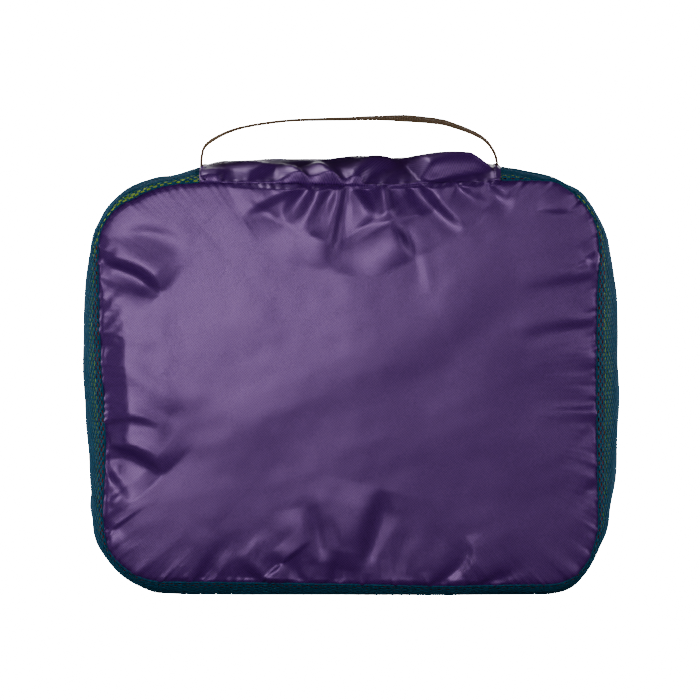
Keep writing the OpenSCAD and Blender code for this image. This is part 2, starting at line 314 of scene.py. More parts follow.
class Nodes:
    """Small helper for building a node material."""

    def __init__(self, name):
        self.mat = bpy.data.materials.new(name)
        self.mat.use_nodes = True
        self.t = self.mat.node_tree
        self.bsdf = self.t.nodes["Principled BSDF"]

    def add(self, kind, **values):
        n = self.t.nodes.new(kind)
        for k, v in values.items():
            if hasattr(n, k):
                setattr(n, k, v)
            else:
                n.inputs[k.replace("_", " ")].default_value = v
        return n

    def link(self, a, b):
        self.t.links.new(a, b)

    def coords(self, attribute=None):
        if attribute:
            return self.add("ShaderNodeAttribute", attribute_name=attribute).outputs["Vector"]
        return self.add("ShaderNodeTexCoord").outputs["Object"]

    def math(self, op, a, b=None):
        n = self.add("ShaderNodeMath", operation=op)
        for k, v in enumerate((a, b)):
            if v is None:
                continue
            if isinstance(v, (int, float)):
                n.inputs[k].default_value = v
            else:
                self.link(v, n.inputs[k])
        return n.outputs[0]

    def noise(self, vec, scale, detail=2.0):
        n = self.add("ShaderNodeTexNoise")
        n.inputs["Scale"].default_value = scale
        n.inputs["Detail"].default_value = detail
        self.link(vec, n.inputs["Vector"])
        return n.outputs["Fac"]

    def wave(self, vec, scale, direction="X", distortion=0.0):
        n = self.add("ShaderNodeTexWave", bands_direction=direction)
        n.inputs["Scale"].default_value = scale
        n.inputs["Distortion"].default_value = distortion
        self.link(vec, n.inputs["Vector"])
        return n.outputs["Fac"]

    def ramp(self, fac, stops):
        n = self.add("ShaderNodeValToRGB")
        while len(n.color_ramp.elements) < len(stops):
            n.color_ramp.elements.new(0.5)
        for e, (pos, col) in zip(n.color_ramp.elements, stops):
            e.position, e.color = pos, (*col, 1)
        self.link(fac, n.inputs[0])
        return n.outputs[0]

    def bump(self, height, strength, distance, base=None):
        n = self.add("ShaderNodeBump")
        n.inputs["Strength"].default_value = strength
        n.inputs["Distance"].default_value = distance
        self.link(height, n.inputs["Height"])
        if base is not None:
            self.link(base, n.inputs["Normal"])
        return n.outputs[0]


def shade(c, k):
    return tuple(min(1.0, v * k) for v in c)


def nylon(name, base, attribute=None, rough=0.40, thread=0.95, shine=(1, 1, 1), level=0.5, through=0.0, mottled=0.13):
    """Fine plain weave with a satin face. thread is the weave pitch in mm."""
    m = Nodes(name)
    v = m.coords(attribute)
    bands = 0.31416 / (thread * 0.001)
    turn = m.add("ShaderNodeMapping")
    turn.inputs["Rotation"].default_value = (0, 0, math.radians(38)) if attribute else (0, math.radians(38), 0)
    m.link(v, turn.inputs["Vector"])
    a = m.wave(turn.outputs[0], bands, "X")
    b = m.wave(turn.outputs[0], bands, "Y" if attribute else "Z")
    weave = m.math("MULTIPLY", m.math("ADD", a, b), 0.5)
    broad = m.noise(v, 26, 3)
    speck = m.noise(v, 1500, 2)
    mix = m.math("ADD", m.math("MULTIPLY", weave, 0.4), m.math("ADD", m.math("MULTIPLY", speck, 0.45),
        m.math("MULTIPLY", broad, 0.15)))
    col = m.ramp(mix, [(0.25, shade(base, 1 - mottled * 2.2)), (0.5, base), (0.75, shade(base, 1 + mottled * 2))])
    m.link(col, m.bsdf.inputs["Base Color"])
    m.link(m.bump(weave, 0.32, 0.0001), m.bsdf.inputs["Normal"])
    m.bsdf.inputs["Roughness"].default_value = rough
    m.bsdf.inputs["Specular IOR Level"].default_value = level
    glint = m.ramp(mix, [(0.32, shade(shine, 0.64)), (0.5, shade(shine, 0.94)), (0.68, shade(shine, 1.22))])
    m.link(glint, m.bsdf.inputs["Specular Tint"])
    m.bsdf.inputs["IOR"].default_value = 1.5 + 0.25 * (level > 0.8)
    if through:
        thin = m.add("ShaderNodeBsdfTranslucent")
        m.link(col, thin.inputs["Color"])
        both = m.add("ShaderNodeMixShader")
        both.inputs[0].default_value = through
        m.link(m.bsdf.outputs[0], both.inputs[1])
        m.link(thin.outputs[0], both.inputs[2])
        m.link(both.outputs[0], m.t.nodes["Material Output"].inputs["Surface"])
    return m.mat


def ribbed(name, base, attribute, pitch, rough=0.85, across="X", dark=0.55):
    """Webbing or tape: ribs of yarn across the cloth coordinate."""
    m = Nodes(name)
    v = m.coords(attribute)
    ribs = m.wave(v, 0.31416 / (pitch * 0.001), across)
    cross = m.wave(v, 0.31416 / (pitch * 0.0006), "Y" if across == "X" else "X", 0.6)
    fuzz = m.noise(v, 2600, 2)
    mix = m.math("ADD", m.math("MULTIPLY", ribs, 0.5), m.math("ADD", m.math("MULTIPLY", cross, 0.25),
        m.math("MULTIPLY", fuzz, 0.25)))
    col = m.ramp(mix, [(0.2, shade(base, dark)), (0.55, base), (0.85, shade(base, 1.25))])
    m.link(col, m.bsdf.inputs["Base Color"])
    m.link(m.bump(mix, 0.6, 0.00025), m.bsdf.inputs["Normal"])
    m.bsdf.inputs["Roughness"].default_value = rough
    m.bsdf.inputs["Specular IOR Level"].default_value = 0.15
    return m.mat


def plain(name, base, rough, metallic=0.0, scale=900, depth=0.00003, spread=0.12):
    m = Nodes(name)
    v = m.coords()
    n = m.noise(v, scale, 3)
    col = m.ramp(n, [(0.3, shade(base, 1 - spread)), (0.7, shade(base, 1 + spread))])
    m.link(col, m.bsdf.inputs["Base Color"])
    m.link(m.bump(n, 0.3, depth), m.bsdf.inputs["Normal"])
    r = m.math("ADD", m.math("MULTIPLY", m.noise(v, scale / 4, 2), 0.18), rough - 0.09)
    m.link(r, m.bsdf.inputs["Roughness"])
    m.bsdf.inputs["Metallic"].default_value = metallic
    return m.mat


PURPLE = (0.060, 0.0075, 0.15)
PURPLE_SHINE = (0.74, 0.44, 1.0)
TEAL = (0.004, 0.075, 0.15)
LIME = (0.40, 0.60, 0.05)
MAROON = (0.42, 0.05, 0.026)
BROWN = (0.17, 0.10, 0.05)

mat_panel = nylon("purple_nylon_back", PURPLE, shine=PURPLE_SHINE, level=1.0)
mat_top = nylon("purple_nylon_top", PURPLE, "cloth", shine=PURPLE_SHINE, level=1.0)
mat_mesh = plain("teal_mesh_yarn", TEAL, 0.75, scale=1400, depth=0.00006, spread=0.22)
mat_mesh.node_tree.nodes["Principled BSDF"].inputs["Specular IOR Level"].default_value = 0.25
mat_lime = nylon("lime_nylon", LIME, through=0.45)
mat_binding = ribbed("maroon_binding", MAROON, "cloth", 0.8, dark=0.3)
mat_tape = ribbed("maroon_zip_tape", (0.07, 0.012, 0.012), "cloth", 0.9)
mat_coil = plain("maroon_zip_coil", (0.035, 0.009, 0.009), 0.35, spread=0.2)
mat_strap = ribbed("brown_webbing", BROWN, "cloth", 1.3)
mat_metal = plain("dark_zip_metal", (0.2, 0.2, 0.21), 0.34, 1.0, scale=600)
mat_thread = plain("purple_thread", (0.09, 0.05, 0.15), 0.6, scale=3000)
# a lighter copy of the lime nylon for the pieces inside the bag: its extra lightness is painted light for the light
# that gets in through the net
mat_lime_painted_bright = nylon("lime_nylon_painted_bright", (0.62, 0.85, 0.12), through=0.6)
mat_lime_thread = plain("lime_thread", (0.32, 0.5, 0.07), 0.6, scale=3000)
mat_brown_thread = plain("brown_thread", (0.12, 0.075, 0.045), 0.6, scale=3000)

# ---------------------------------------------------------------- back panel

FOLD_GAIN, CREST = 1.8, 0.02

# Each crease: path in x, z; half width; steepness (positive faces away from the upper left);
# reach of the recovery each side; and how it fades: "s" from its start, "b" at both ends
CREASES = [
    # gathers under the top seam
    ([(-28, 210), (-42, 202), (-55, 195)], 2.0, 0.77, 5, "s"),
    ([(-24, 211), (-30, 203), (-35, 194)], 2.6, 0.98, 7, "s"),
    ([(-11, 211), (-16, 201), (-22, 187)], 3.0, 1.05, 8, "s"),
    ([(-3, 209), (-7, 190), (-11, 168)], 2.8, 0.98, 8, "s"),
    ([(4, 211), (9, 203), (14, 195)], 2.6, 1.12, 7, "s"),
    ([(19, 211), (21, 203), (23, 194)], 2.3, 1.05, 6, "s"),
    ([(29, 209), (32, 203), (36, 195)], 1.8, 0.70, 5, "s"),
    ([(39, 208), (46, 200), (58, 189)], 2.2, 1.05, 6, "s"),
    ([(58, 210), (64, 206), (72, 201)], 2.0, 0.63, 5, "s"),
    ([(73, 210), (78, 206), (84, 203)], 1.8, 0.56, 4, "s"),
    ([(22, 194), (28, 184), (33, 174)], 2.2, 0.49, 6, "b"),
    ([(30, 190), (36, 172), (39, 156)], 1.2, -0.42, 4, "b"),
    ([(-30, 210), (-38, 204), (-46, 199)], 1.0, -0.70, 3, "s"),
    ([(96, 199), (106, 198), (116, 197)], 0.8, 0.42, 3, "b"),
    # upper left arcs
    ([(-128, 187), (-108, 189), (-92, 187), (-82, 180)], 3.0, 0.17, 9, "b"),
    ([(-128, 173), (-117, 170.5), (-106, 166), (-96, 157)], 2.2, 0.8, 5, "m"),
    ([(-129, 175), (-124, 178), (-119, 182)], 1.0, 0.5, 3, "s"),
    ([(-119, 161), (-108, 157), (-97, 154)], 2.0, -0.22, 5, "b"),
    # left seam
    ([(-128, 139), (-121, 149), (-114, 158)], 1.0, 0.45, 2.6, "s"),
    ([(-127, 132), (-120, 140), (-112, 150)], 1.1, 0.4, 2.6, "s"),
    ([(-126, 125), (-119, 133), (-112, 142)], 1.1, 0.35, 2.6, "s"),
    ([(-128, 150), (-123, 156), (-118, 161)], 0.9, 0.35, 2.2, "s"),
    ([(-112, 121), (-98, 111), (-84, 104)], 4.0, -0.22, 10, "b"),
    ([(-112, 97), (-101, 94), (-90, 90)], 2.6, -0.4, 6, "b"),
    ([(-126, 90), (-114, 92), (-104, 91), (-96, 86)], 1.4, 0.55, 4, "s"),
    ([(-126, 84), (-118, 82), (-110, 83)], 0.9, 0.4, 2.5, "s"),
    ([(-123, 78), (-112, 75), (-103, 70), (-96, 63)], 2.2, 0.75, 6, "m"),
    ([(-120, 82), (-105, 79), (-90, 74)], 1.8, -0.3, 6, "b"),
    ([(-126, 68), (-119, 59), (-112, 49)], 1.8, 0.75, 5, "s"),
    ([(-128, 57), (-124, 51), (-120, 46)], 1.4, 0.5, 3.5, "s"),
    ([(-126, 40), (-120, 33), (-116, 24)], 2.0, 0.35, 5, "s"),
    # bottom gathers
    ([(-80, 9), (-74, 19), (-66, 30)], 2.0, 0.35, 6, "s"),
    ([(-72, 10), (-64, 22), (-58, 30)], 2.2, -0.3, 6, "s"),
    ([(-62, 16), (-52, 27), (-42, 36)], 2.6, -0.2, 8, "b"),
    ([(-44, 8), (-51, 14), (-58, 21)], 2.0, 0.5, 5, "s"),
    ([(-38, 8), (-45, 16), (-52, 22)], 1.7, -0.5, 5, "s"),
    ([(-28, 8), (-34, 17), (-40, 24)], 2.0, 0.6, 5, "s"),
    ([(-23, 9), (-29, 18), (-34, 26)], 1.7, -0.5, 5, "s"),
    ([(-16, 18), (-20, 32), (-23, 47)], 1.8, 0.4, 5, "b"),
    ([(-13, 22), (-15, 36), (-18, 54)], 1.4, -0.4, 5, "b"),
    ([(-10, 8), (-9, 16), (-8, 24)], 1.8, 0.45, 5, "s"),
    ([(-4, 7), (-4.5, 15), (-5, 25)], 1.3, -0.8, 4, "s"),
    ([(-5, 27), (-6, 33), (-7, 42)], 1.3, -0.35, 4, "b"),
    ([(5, 13), (8, 30), (15, 56)], 3.2, 0.34, 8, "m"),
    ([(8, 15), (16, 30), (21, 44), (17, 56)], 2.2, -0.45, 6, "m"),
    ([(48, 8), (56, 13), (62, 22), (59, 31)], 1.6, -0.75, 6, "m"),
    ([(43, 8), (51, 14), (57, 22)], 2.2, 0.35, 6, "s"),
    ([(70, 9), (76, 12), (84, 14)], 1.8, 0.4, 5, "s"),
    ([(78, 8), (84, 11), (92, 13)], 1.4, -0.35, 4, "s"),
    # right seam
    ([(128, 167), (122, 172), (116, 180)], 0.9, 0.54, 3.5, "s"),
    ([(128, 167), (126, 162), (123, 157)], 0.8, 0.48, 3, "s"),
    ([(127, 169), (112, 170), (90, 172)], 1.8, -0.44, 6, "s"),
    ([(126, 164), (108, 163), (86, 158)], 2.4, 0.26, 7, "s"),
    ([(126, 143), (114, 146), (102, 145)], 1.6, -0.53, 5, "s"),
    ([(126, 138), (108, 134), (88, 128)], 1.8, -0.62, 6, "s"),
    ([(124, 141), (104, 139), (84, 134)], 2.4, 0.30, 7, "s"),
    ([(126, 125), (116, 128), (106, 127)], 1.5, -0.62, 5, "s"),
    ([(126, 98), (112, 97), (94, 97)], 2.2, -0.70, 6, "s"),
    ([(126, 107), (118, 108), (110, 108)], 1.0, -0.53, 3, "s"),
    ([(126, 90), (119, 89), (112, 90)], 1.0, -0.53, 3, "s"),
    ([(127, 83), (119, 78), (110, 71)], 1.4, -0.62, 4, "s"),
    ([(127, 62), (121, 56), (114, 52)], 1.6, 0.36, 4, "s"),
    ([(127, 53), (120, 47), (112, 42)], 1.4, -0.53, 4, "s"),
    # broad diagonal lie of the cloth
    ([(112, 168), (70, 140), (25, 114), (-20, 98), (-85, 68)], 9, 0.035, 26, "b"),
    ([(105, 152), (72, 136), (50, 120)], 5, -0.12, 16, "b"),
]


def smooth_path(pts, n=14):
    p = np.array(pts, float)
    t = np.linspace(0, len(p) - 1, n)
    k = np.clip(t.astype(int), 0, len(p) - 2)
    f = (t - k)[:, None]
    a, b = p[np.maximum(k - 1, 0)], p[k]
    c, d = p[k + 1], p[np.minimum(k + 2, len(p) - 1)]
    return 0.5 * (2 * b + (c - a) * f + (2 * a - 5 * b + 4 * c - d) * f**2 + (3 * b - a - 3 * c + d) * f**3)


def creases(x, z, table, away=(0.62, -0.78)):
    """Height of all creases at points x, z."""
    h = np.zeros_like(x)
    for path, w, steep, reach, fade in table:
        p = smooth_path(path)
        reach = reach * 1.5
        lo, hi = p.min(0) - reach * 4.2, p.max(0) + reach * 4.2
        near = np.nonzero((x > lo[0]) & (x < hi[0]) & (z > lo[1]) & (z < hi[1]))
        if not len(near[0]):
            continue
        qx, qz = x[near], z[near]
        best = np.full(qx.shape, 1e9)
        signed, along = np.zeros_like(qx), np.zeros_like(qx)
        seg = np.diff(p, axis=0)
        size = np.linalg.norm(seg, axis=1)
        start = np.concatenate([[0], np.cumsum(size)])
        for k in range(len(seg)):
            ux, uz = seg[k] / size[k]
            rx, rz = qx - p[k, 0], qz - p[k, 1]
            t = rx * ux + rz * uz
            tc = np.clip(t, 0, size[k])
            dx, dz = rx - tc * ux, rz - tc * uz
            d = np.hypot(dx, dz)
            nx, nz = -uz, ux
            if nx * away[0] + nz * away[1] < 0:
                nx, nz = -nx, -nz
            s = np.where(dx * nx + dz * nz < 0, -d, d)
            take = d < best
            best = np.where(take, d, best)
            signed = np.where(take, s, signed)
            along = np.where(take, (start[k] + tc) / start[-1], along)
        if fade == "s":
            amp = np.clip(1 - along, 0, 1) ** 0.8
            width = w * (0.75 + 0.5 * along)
        elif fade == "m":
            amp = np.clip(np.minimum(along * 5, (1 - along) * 4), 0, 1) ** 0.7
            width = w * (0.8 + 0.35 * np.sin(along * math.pi))
        else:
            amp = np.sin(np.clip(along, 0, 1) * math.pi) ** 0.8
            width = w
        # the cloth climbs slowly to a crease and drops off behind it
        if steep > 0:
            reach = np.where(signed < 0, 2.0, 1.45) * reach
        over = np.exp(-((np.maximum(best - reach, 0) / (0.5 * reach)) ** 2))
        slope = steep if steep > 0 else 0.38 * steep
        h[near] += -slope * amp * width * np.tanh(signed / width) * np.exp(-((signed / reach) ** 2)) * over
    return h


def blur(a, sigma):
    k = np.exp(-0.5 * (np.arange(-4, 5) / sigma) ** 2)
    k /= k.sum()
    for axis in (0, 1):
        wide = np.concatenate([np.take(a, [0] * 4, axis), a, np.take(a, [-1] * 4, axis)], axis)
        a = sum(w * np.take(wide, np.arange(i, i + a.shape[axis]), axis) for i, w in enumerate(k))
    return a


def plane(box, pitch):
    """Grid of points x, z over a box."""
    return np.meshgrid(np.arange(box[0], box[2] + pitch, pitch), np.arange(box[1], box[3] + pitch, pitch),
        indexing="ij")


def whole_cells(keep):
    """Cells of a grid that have all four corners kept."""
    return keep[:-1, :-1] & keep[1:, :-1] & keep[1:, 1:] & keep[:-1, 1:]


def sampler(h, box, pitch, ease=False):
    """A function that looks the height map up at any point."""

    def at(x, z):
        u = np.clip((x - box[0]) / pitch, 0, h.shape[0] - 1.001)
        v = np.clip((z - box[1]) / pitch, 0, h.shape[1] - 1.001)
        i, j = u.astype(int), v.astype(int)
        f, g = u - i, v - j
        if ease:
            f, g = f * f * (3 - 2 * f), g * g * (3 - 2 * g)
        return (h[i, j] * (1 - f) * (1 - g) + h[i + 1, j] * f * (1 - g) + h[i, j + 1] * (1 - f) * g
            + h[i + 1, j + 1] * f * g)

    return at


def field(table, box, pitch=0.5, sigma=1.25, away=(0.62, -0.78)):
    """The creases as a lightly smoothed height map, to be looked up at any point."""
    return sampler(blur(creases(*plane(box, pitch), table, away), sigma), box, pitch)


# Only the fine part of the simulated cloth is used; the large folds are the table of creases.
def settle(name, sdf, box, pitch, spare, pressure, cap, grain):
    """Cloth pinned along its edge, with a little cloth to spare, puffed by pressure. Gives the fine folds it
    falls into as a height to be looked up at any point, at most cap mm."""
    gx, gz = plane(box, pitch)
    d = sdf(gx, gz)
    keep = d < 0
    index = np.cumsum(keep).reshape(keep.shape) - 1
    start = 0.5 * wave_noise(np.stack([gx, gz], -1), grain, 41)
    verts = np.stack([gx, start, gz], -1)[keep] * 0.001
    quad = whole_cells(keep)
    faces = np.stack([index[:-1, :-1][quad], index[1:, :-1][quad], index[1:, 1:][quad], index[:-1, 1:][quad]], 1)
    me = bpy.data.meshes.new(name)
    me.from_pydata(verts.tolist(), [], faces.tolist())
    o = bpy.data.objects.new(name, me)
    scene = bpy.context.scene
    scene.collection.objects.link(o)
    pin = o.vertex_groups.new(name="seam")
    pin.add(np.nonzero(d[keep] > -1.3 * pitch)[0].tolist(), 1.0, "REPLACE")
    cloth = o.modifiers.new("cloth", "CLOTH")
    c = cloth.settings
    c.quality, c.mass, c.air_damping = 6, 0.2, 1.0
    c.tension_stiffness = c.compression_stiffness = 20
    c.shear_stiffness, c.bending_stiffness = 8, 0.3
    c.vertex_group_mass = "seam"
    c.shrink_min = -spare
    c.use_pressure, c.uniform_pressure_force = True, pressure
    c.effector_weights.gravity = 0
    cloth.collision_settings.use_collision = False
    cloth.point_cache.frame_start, cloth.point_cache.frame_end = 1, 20
    for frame_number in range(1, 21):
        scene.frame_set(frame_number)
    done = o.evaluated_get(bpy.context.evaluated_depsgraph_get()).data
    y = np.empty(len(done.vertices) * 3)
    done.vertices.foreach_get("co", y)
    h = np.zeros(gx.shape)
    h[keep] = -y[1::3] * 1000 * (-1 if np.mean(y[1::3]) > 0 else 1)
    bpy.data.objects.remove(o)
    bpy.data.meshes.remove(me)
    scene.frame_set(1)
    wide = h
    for _ in range(3):
        wide = blur(wide, 3.5)
    h = cap * np.tanh((h - wide) / cap) * np.clip(-d / 4, 0, 1)
    return sampler(h, box, pitch, ease=True)


def panel_edge(length, inset):
    """Small stitched puckers beside the seam, dying away inward."""
    r = np.random.default_rng(11)
    h = np.zeros(np.broadcast(length, inset).shape)
    for period, depth, fade in ((3.9, 0.2, 1.8), (8.3, 0.34, 3.6), (5.6, 0.26, 2.8), (11.0, 0.4, 5.0), (15.0, 0.4, 7.0),
            (23.0, 0.4, 11.0)):
        n = round(TOTAL / period)
        env = 0.6 + 0.4 * np.sin(length * 2 * math.pi / TOTAL * r.integers(5, 14) + r.uniform(0, 6))
        h = h + depth * env * np.sin(length * 2 * math.pi * n / TOTAL + r.uniform(0, 6)) * np.exp(-inset / fade)
    return h * (1 - 0.85 * np.exp(-(((length - 90) / 50) ** 4)))


def build_back_panel():
    ls = np.linspace(0, TOTAL, 1024, endpoint=False)
    insets = np.concatenate([[0, 0, 0, 0.2, 0.42, 0.7, 1.0, 1.4, 1.85, 2.4, 3.0, 3.7, 4.5, 5.4],
        np.arange(6.3, 32, 1.0), np.arange(32, 119, 1.5), [119.5, 121]])
    # the seam bites between stitches, so the cloth's edge is scalloped
    bite = np.abs(np.sin(ls * math.pi * 212 / TOTAL + 0.8 * wave_noise(ls[:, None], 31, 22)))
    scallop = 0.42 * bite * (0.75 + 0.35 * wave_noise(ls[:, None], 19, 21))
    ex, ez = back_outline(ls, 0.3 - scallop)
    cx, cz = 0.0, CENTRE_Z
    share = (insets / 121.0)[None, :]
    gx = cx + (ex - cx)[:, None] * (1 - share)
    gz = cz + (ez - cz)[:, None] * (1 - share)
    angle = station(ls)[4]
    px, pz = back_outline(ls, 0.3)
    reach = (px - cx) * np.cos(angle) + (pz - cz) * np.sin(angle)
    d = share * reach[:, None]
    crown = (1 - (gx / 129) ** 2) * (1 - ((gz - 109) / 104) ** 2)
    lie = (gx * 0.55 - (gz - 112) * 0.83)
    # beside the left seam the cloth runs straight down from a soft ridge
    strip = np.exp(-((np.abs(ls - 214) / np.where(ls < 214, 40, 36)) ** 2.5))[:, None]
    ridge = np.where(d < 13, 1 - np.sqrt(((13 - d) / 13) ** 2 + 0.015) + 0.12, 1.0)
    ridge = ridge * np.exp(-np.maximum(d - 13, 0) / 45) * np.clip((92 - d) / 60, 0, 1) ** 1.5
    rise = 1.35 * (1 - np.exp(-d / 0.95)) + (1 - np.exp(-d / 15)) * (2.4 + 4.6 * crown)
    h = rise + 4.2 * strip * ridge - CREST * crown * (np.sqrt(lie**2 + 400) - 20)
    h += FOLD_GAIN * field(CREASES, (-136, -2, 136, 222))(gx, gz) * np.clip(0.2 + d / 3, 0, 1)
    loose = settle("back_cloth", lambda x, z: round_rect_sdf(x, z, 127, 7.5, 211, 32), (-129, 6, 129, 213), 2.5, 0.012,
        4.0, 1.2, 22)
    seams = ((0, 40), (225, 62), (422, 85), (645, 60))
    where = sum(np.exp(-(((ls - middle) / half) ** 4)) for middle, half in seams)[:, None]
    h += (0.04 + 0.5 * where) * loose(gx, gz) * (0.06 + 0.94 * np.exp(-((d / 20) ** 1.5)))
    h += panel_edge(ls[:, None], d) + 0.9 * scallop[:, None] * np.exp(-d / 1.1)
    h += 0.35 * wave_noise(np.stack([gx, gz], -1), 60, 5) * np.clip(d / 20, 0, 1)
    h += 0.07 * wave_noise(np.stack([gx, gz], -1), 16, 6) * np.clip(d / 8, 0, 1)
    h[:, 0] -= 2.0
    h[:, 1] -= 0.9
    g = np.stack([gx, -(DEPTH - 0.9) - h, gz], -1)
    o = ring_mesh("back_panel_cloth", g, insets, (34, 60, 84, 106), mat_panel)
    solidify(o, NYLON_THICK)
    attach(o, "bag", "purple_nylon", "back_panel", (0.272, 0.222), rests_on=["mesh_gusset_left", "top_panel"])


def solidify(o, thick):
    m = o.modifiers.new("thickness", "SOLIDIFY")
    m.thickness, m.offset = thick * 0.001, -1.0


def ring_mesh(name, g, insets, halve, material):
    """Closed rings of points from the outside in; the count halves after each inset in halve."""
    verts, faces, ring = [], [], None
    step = 1
    for k in range(g.shape[1]):
        if k == g.shape[1] - 1:
            c = len(verts)
            verts.append(g[:, k].mean(0))
            faces += [[ring[(i + 1) % len(ring)], ring[i], c] for i in range(len(ring))]
            break
        coarser = k > 0 and sum(insets[k] > h for h in halve) > sum(insets[k - 1] > h for h in halve)
        step *= 2 if coarser else 1
        here = list(range(len(verts), len(verts) + len(range(0, g.shape[0], step))))
        verts += list(g[::step, k])
        n = len(here)
        for i in range(n if ring else 0):
            j = (i + 1) % n
            if coarser:
                a, b, c = ring[2 * i], ring[2 * i + 1], ring[(2 * i + 2) % len(ring)]
                faces += [[a, here[i], b], [b, here[i], here[j]], [b, here[j], c]]
            else:
                faces.append([ring[i], here[i], here[j], ring[j]])
        ring = here
    o = make(name, verts, faces, material)
    bm = bmesh.new()
    bm.from_mesh(o.data)
    bmesh.ops.recalc_face_normals(bm, faces=bm.faces)
    if sum(f.normal.y * f.calc_area() for f in bm.faces) > 0:
        bmesh.ops.reverse_faces(bm, faces=bm.faces)
    bm.to_mesh(o.data)
    bm.free()
    return o


# ---------------------------------------------------------------- mesh net

NET_START, NET_CELLS = 74.0, 173
PITCH_U, PITCH_V, ROWS = (TOTAL - 2 * NET_START) / NET_CELLS, 1.56, 43


def net(name, first_cell, nu, node):
    """Knitted net as real bars round real holes, for nu cells from first_cell along the gusset."""
    pu = PITCH_U
    l0 = NET_START + first_cell * pu
    h1, h2 = PITCH_V * 2 / 3, PITCH_V / 3
    a = pu / 2
    hexa = np.array([(0, h1), (a, h2), (a, 0), (a, -h2), (0, -h1), (-a, -h2), (-a, 0), (-a, h2)])
    angle = np.radians([90, 40, 0, -40, -90, -140, 180, 140])
    hole = np.stack([1.06 * np.cos(angle), 0.61 * np.sin(angle)], 1)
    i, j = np.meshgrid(np.arange(nu), np.arange(ROWS), indexing="ij")
    c = np.stack([(i + 0.5 + 0.5 * (j % 2)) * pu, (j + 0.5) * PITCH_V], -1).reshape(-1, 2)
    outer = c[:, None] + hexa
    # the net is stretched a little more open round the upper corners
    open_up = np.exp(-(((l0 + c[:, 0] - 122) / 26) ** 2)) + 0.6 * np.exp(-(((l0 + c[:, 0] - 752) / 22) ** 2))
    size = 1 + 0.52 * open_up + 0.10 * np.sin((l0 + c[:, 0]) * 12.99 + c[:, 1] * 78.2)
    inner = c[:, None] + hole * size[:, None, None]
    middle = outer * 0.45 + inner * 0.55
    key = np.round(outer.reshape(-1, 2) / [pu / 4, PITCH_V / 6]).astype(int)
    _, first, index = np.unique(key, axis=0, return_index=True, return_inverse=True)
    index = index.ravel()
    shared = outer.reshape(-1, 2)[first]
    n, m = len(shared), len(c) * 8
    flat = np.concatenate([shared, middle.reshape(-1, 2), inner.reshape(-1, 2), shared])
    knot = 0.06 * np.sin(shared[:, 0] * 3.1) * np.sin(shared[:, 1] * 5.3)
    lift = np.concatenate([0.3 + knot, np.full(m, 0.24), np.zeros(m), np.full(n, -0.3)])
    k = np.arange(len(c))[:, None] * 8
    s, t = np.arange(8)[None, :], (np.arange(8)[None, :] + 1) % 8
    o0, o1 = index[(k + s).ravel()], index[(k + t).ravel()]
    p0, p1 = (k + s).ravel(), (k + t).ravel()
    f = [np.stack([o0, o1, n + p1, n + p0], 1), np.stack([n + p0, n + p1, n + m + p1, n + m + p0], 1),
        np.stack([n + m + p0, n + m + p1, n + 2 * m + o1, n + 2 * m + o0], 1)]
    across = flat[:, 1] / (ROWS * PITCH_V)
    pts = on_gusset(np.clip(l0 + flat[:, 0], NET_START, NET_START + NET_CELLS * pu), across, lift)
    obj = make(name, pts, np.concatenate(f), mat_mesh, flat)
    flat_size = (round(nu * pu * 0.001, 4), round(ROWS * PITCH_V * 0.001, 4))
    attach(obj, "bag", "teal_mesh", node, flat_size)


def band(name, l0, l1, v0, v1, lift0, lift1, thick, material, rows=7, step=1.2, ripple=0.0, seed=1, fall=0.0):
    """Strip of cloth lying along the gusset. fall is how far its free edge drops inward at the upper corners."""
    ls = np.arange(l0, l1 + step, step)
    f = np.linspace(0, 1, rows)[None, :]
    under_top = np.clip((80 - np.minimum(np.mod(ls, TOTAL), TOTAL - np.mod(ls, TOTAL))) / 6, 0, 1)[:, None]
    corners = np.exp(-(((ls - 112) / 30) ** 4)) + np.exp(-(((ls - 756) / 14) ** 4))
    lift0 = lift0 - fall * 0.25 * corners[:, None]
    along, f = np.broadcast_arrays(ls[:, None], f)
    lift = (lift0 + (lift1 - fall * corners[:, None] - lift0) * f - under_top * (1.2 + 2.2 * np.sin(f * 2.6))
        + ripple * wave_noise(np.stack([along, f * 8], -1), 11, seed))
    g = on_gusset(along, v0 + (v1 - v0) * f, lift)
    cl = np.stack([along, (v1 - v0) * 62 * f], -1)
    return shell(name, g, thick, material, cloth=cl, side=1.0 if facing(g) else -1.0)


def facing(g):
    """Whether the grid's own normals point outward of the bag."""
    n = grid_normals(g)
    c = g - np.array([0, 0, CENTRE_Z])
    return float((n * c)[..., [0, 2]].sum()) > 0


def tube(name, path, radius, material, sides=8, closed=False, squash=None):
    """Round cord of points along a path; squash scales one cross axis."""
    p = np.asarray(path, float)
    d = np.roll(p, -1, 0) - np.roll(p, 1, 0) if closed else np.gradient(p, axis=0)
    d /= np.maximum(np.linalg.norm(d, axis=1, keepdims=True), 1e-9)
    up = np.array([0, 1.0, 0])
    a = np.cross(d, up)
    a /= np.maximum(np.linalg.norm(a, axis=1, keepdims=True), 1e-9)
    b = np.cross(a, d)
    t = np.linspace(0, 2 * math.pi, sides, endpoint=False)
    r = np.broadcast_to(np.asarray(radius, float), (len(p),))[:, None, None]
    ka, kb = squash or (1, 1)
    g = p[:, None] + r * (ka * a[:, None] * np.cos(t)[None, :, None] + kb * b[:, None] * np.sin(t)[None, :, None])
    nu = len(p)
    cl = np.stack([np.repeat(np.arange(nu) * 1.0, sides), np.tile(t * 3, nu)], 1)
    o = make(name, g.reshape(-1, 3), tube_faces(nu, sides, closed), material, cl)
    face_out(o)
    return o


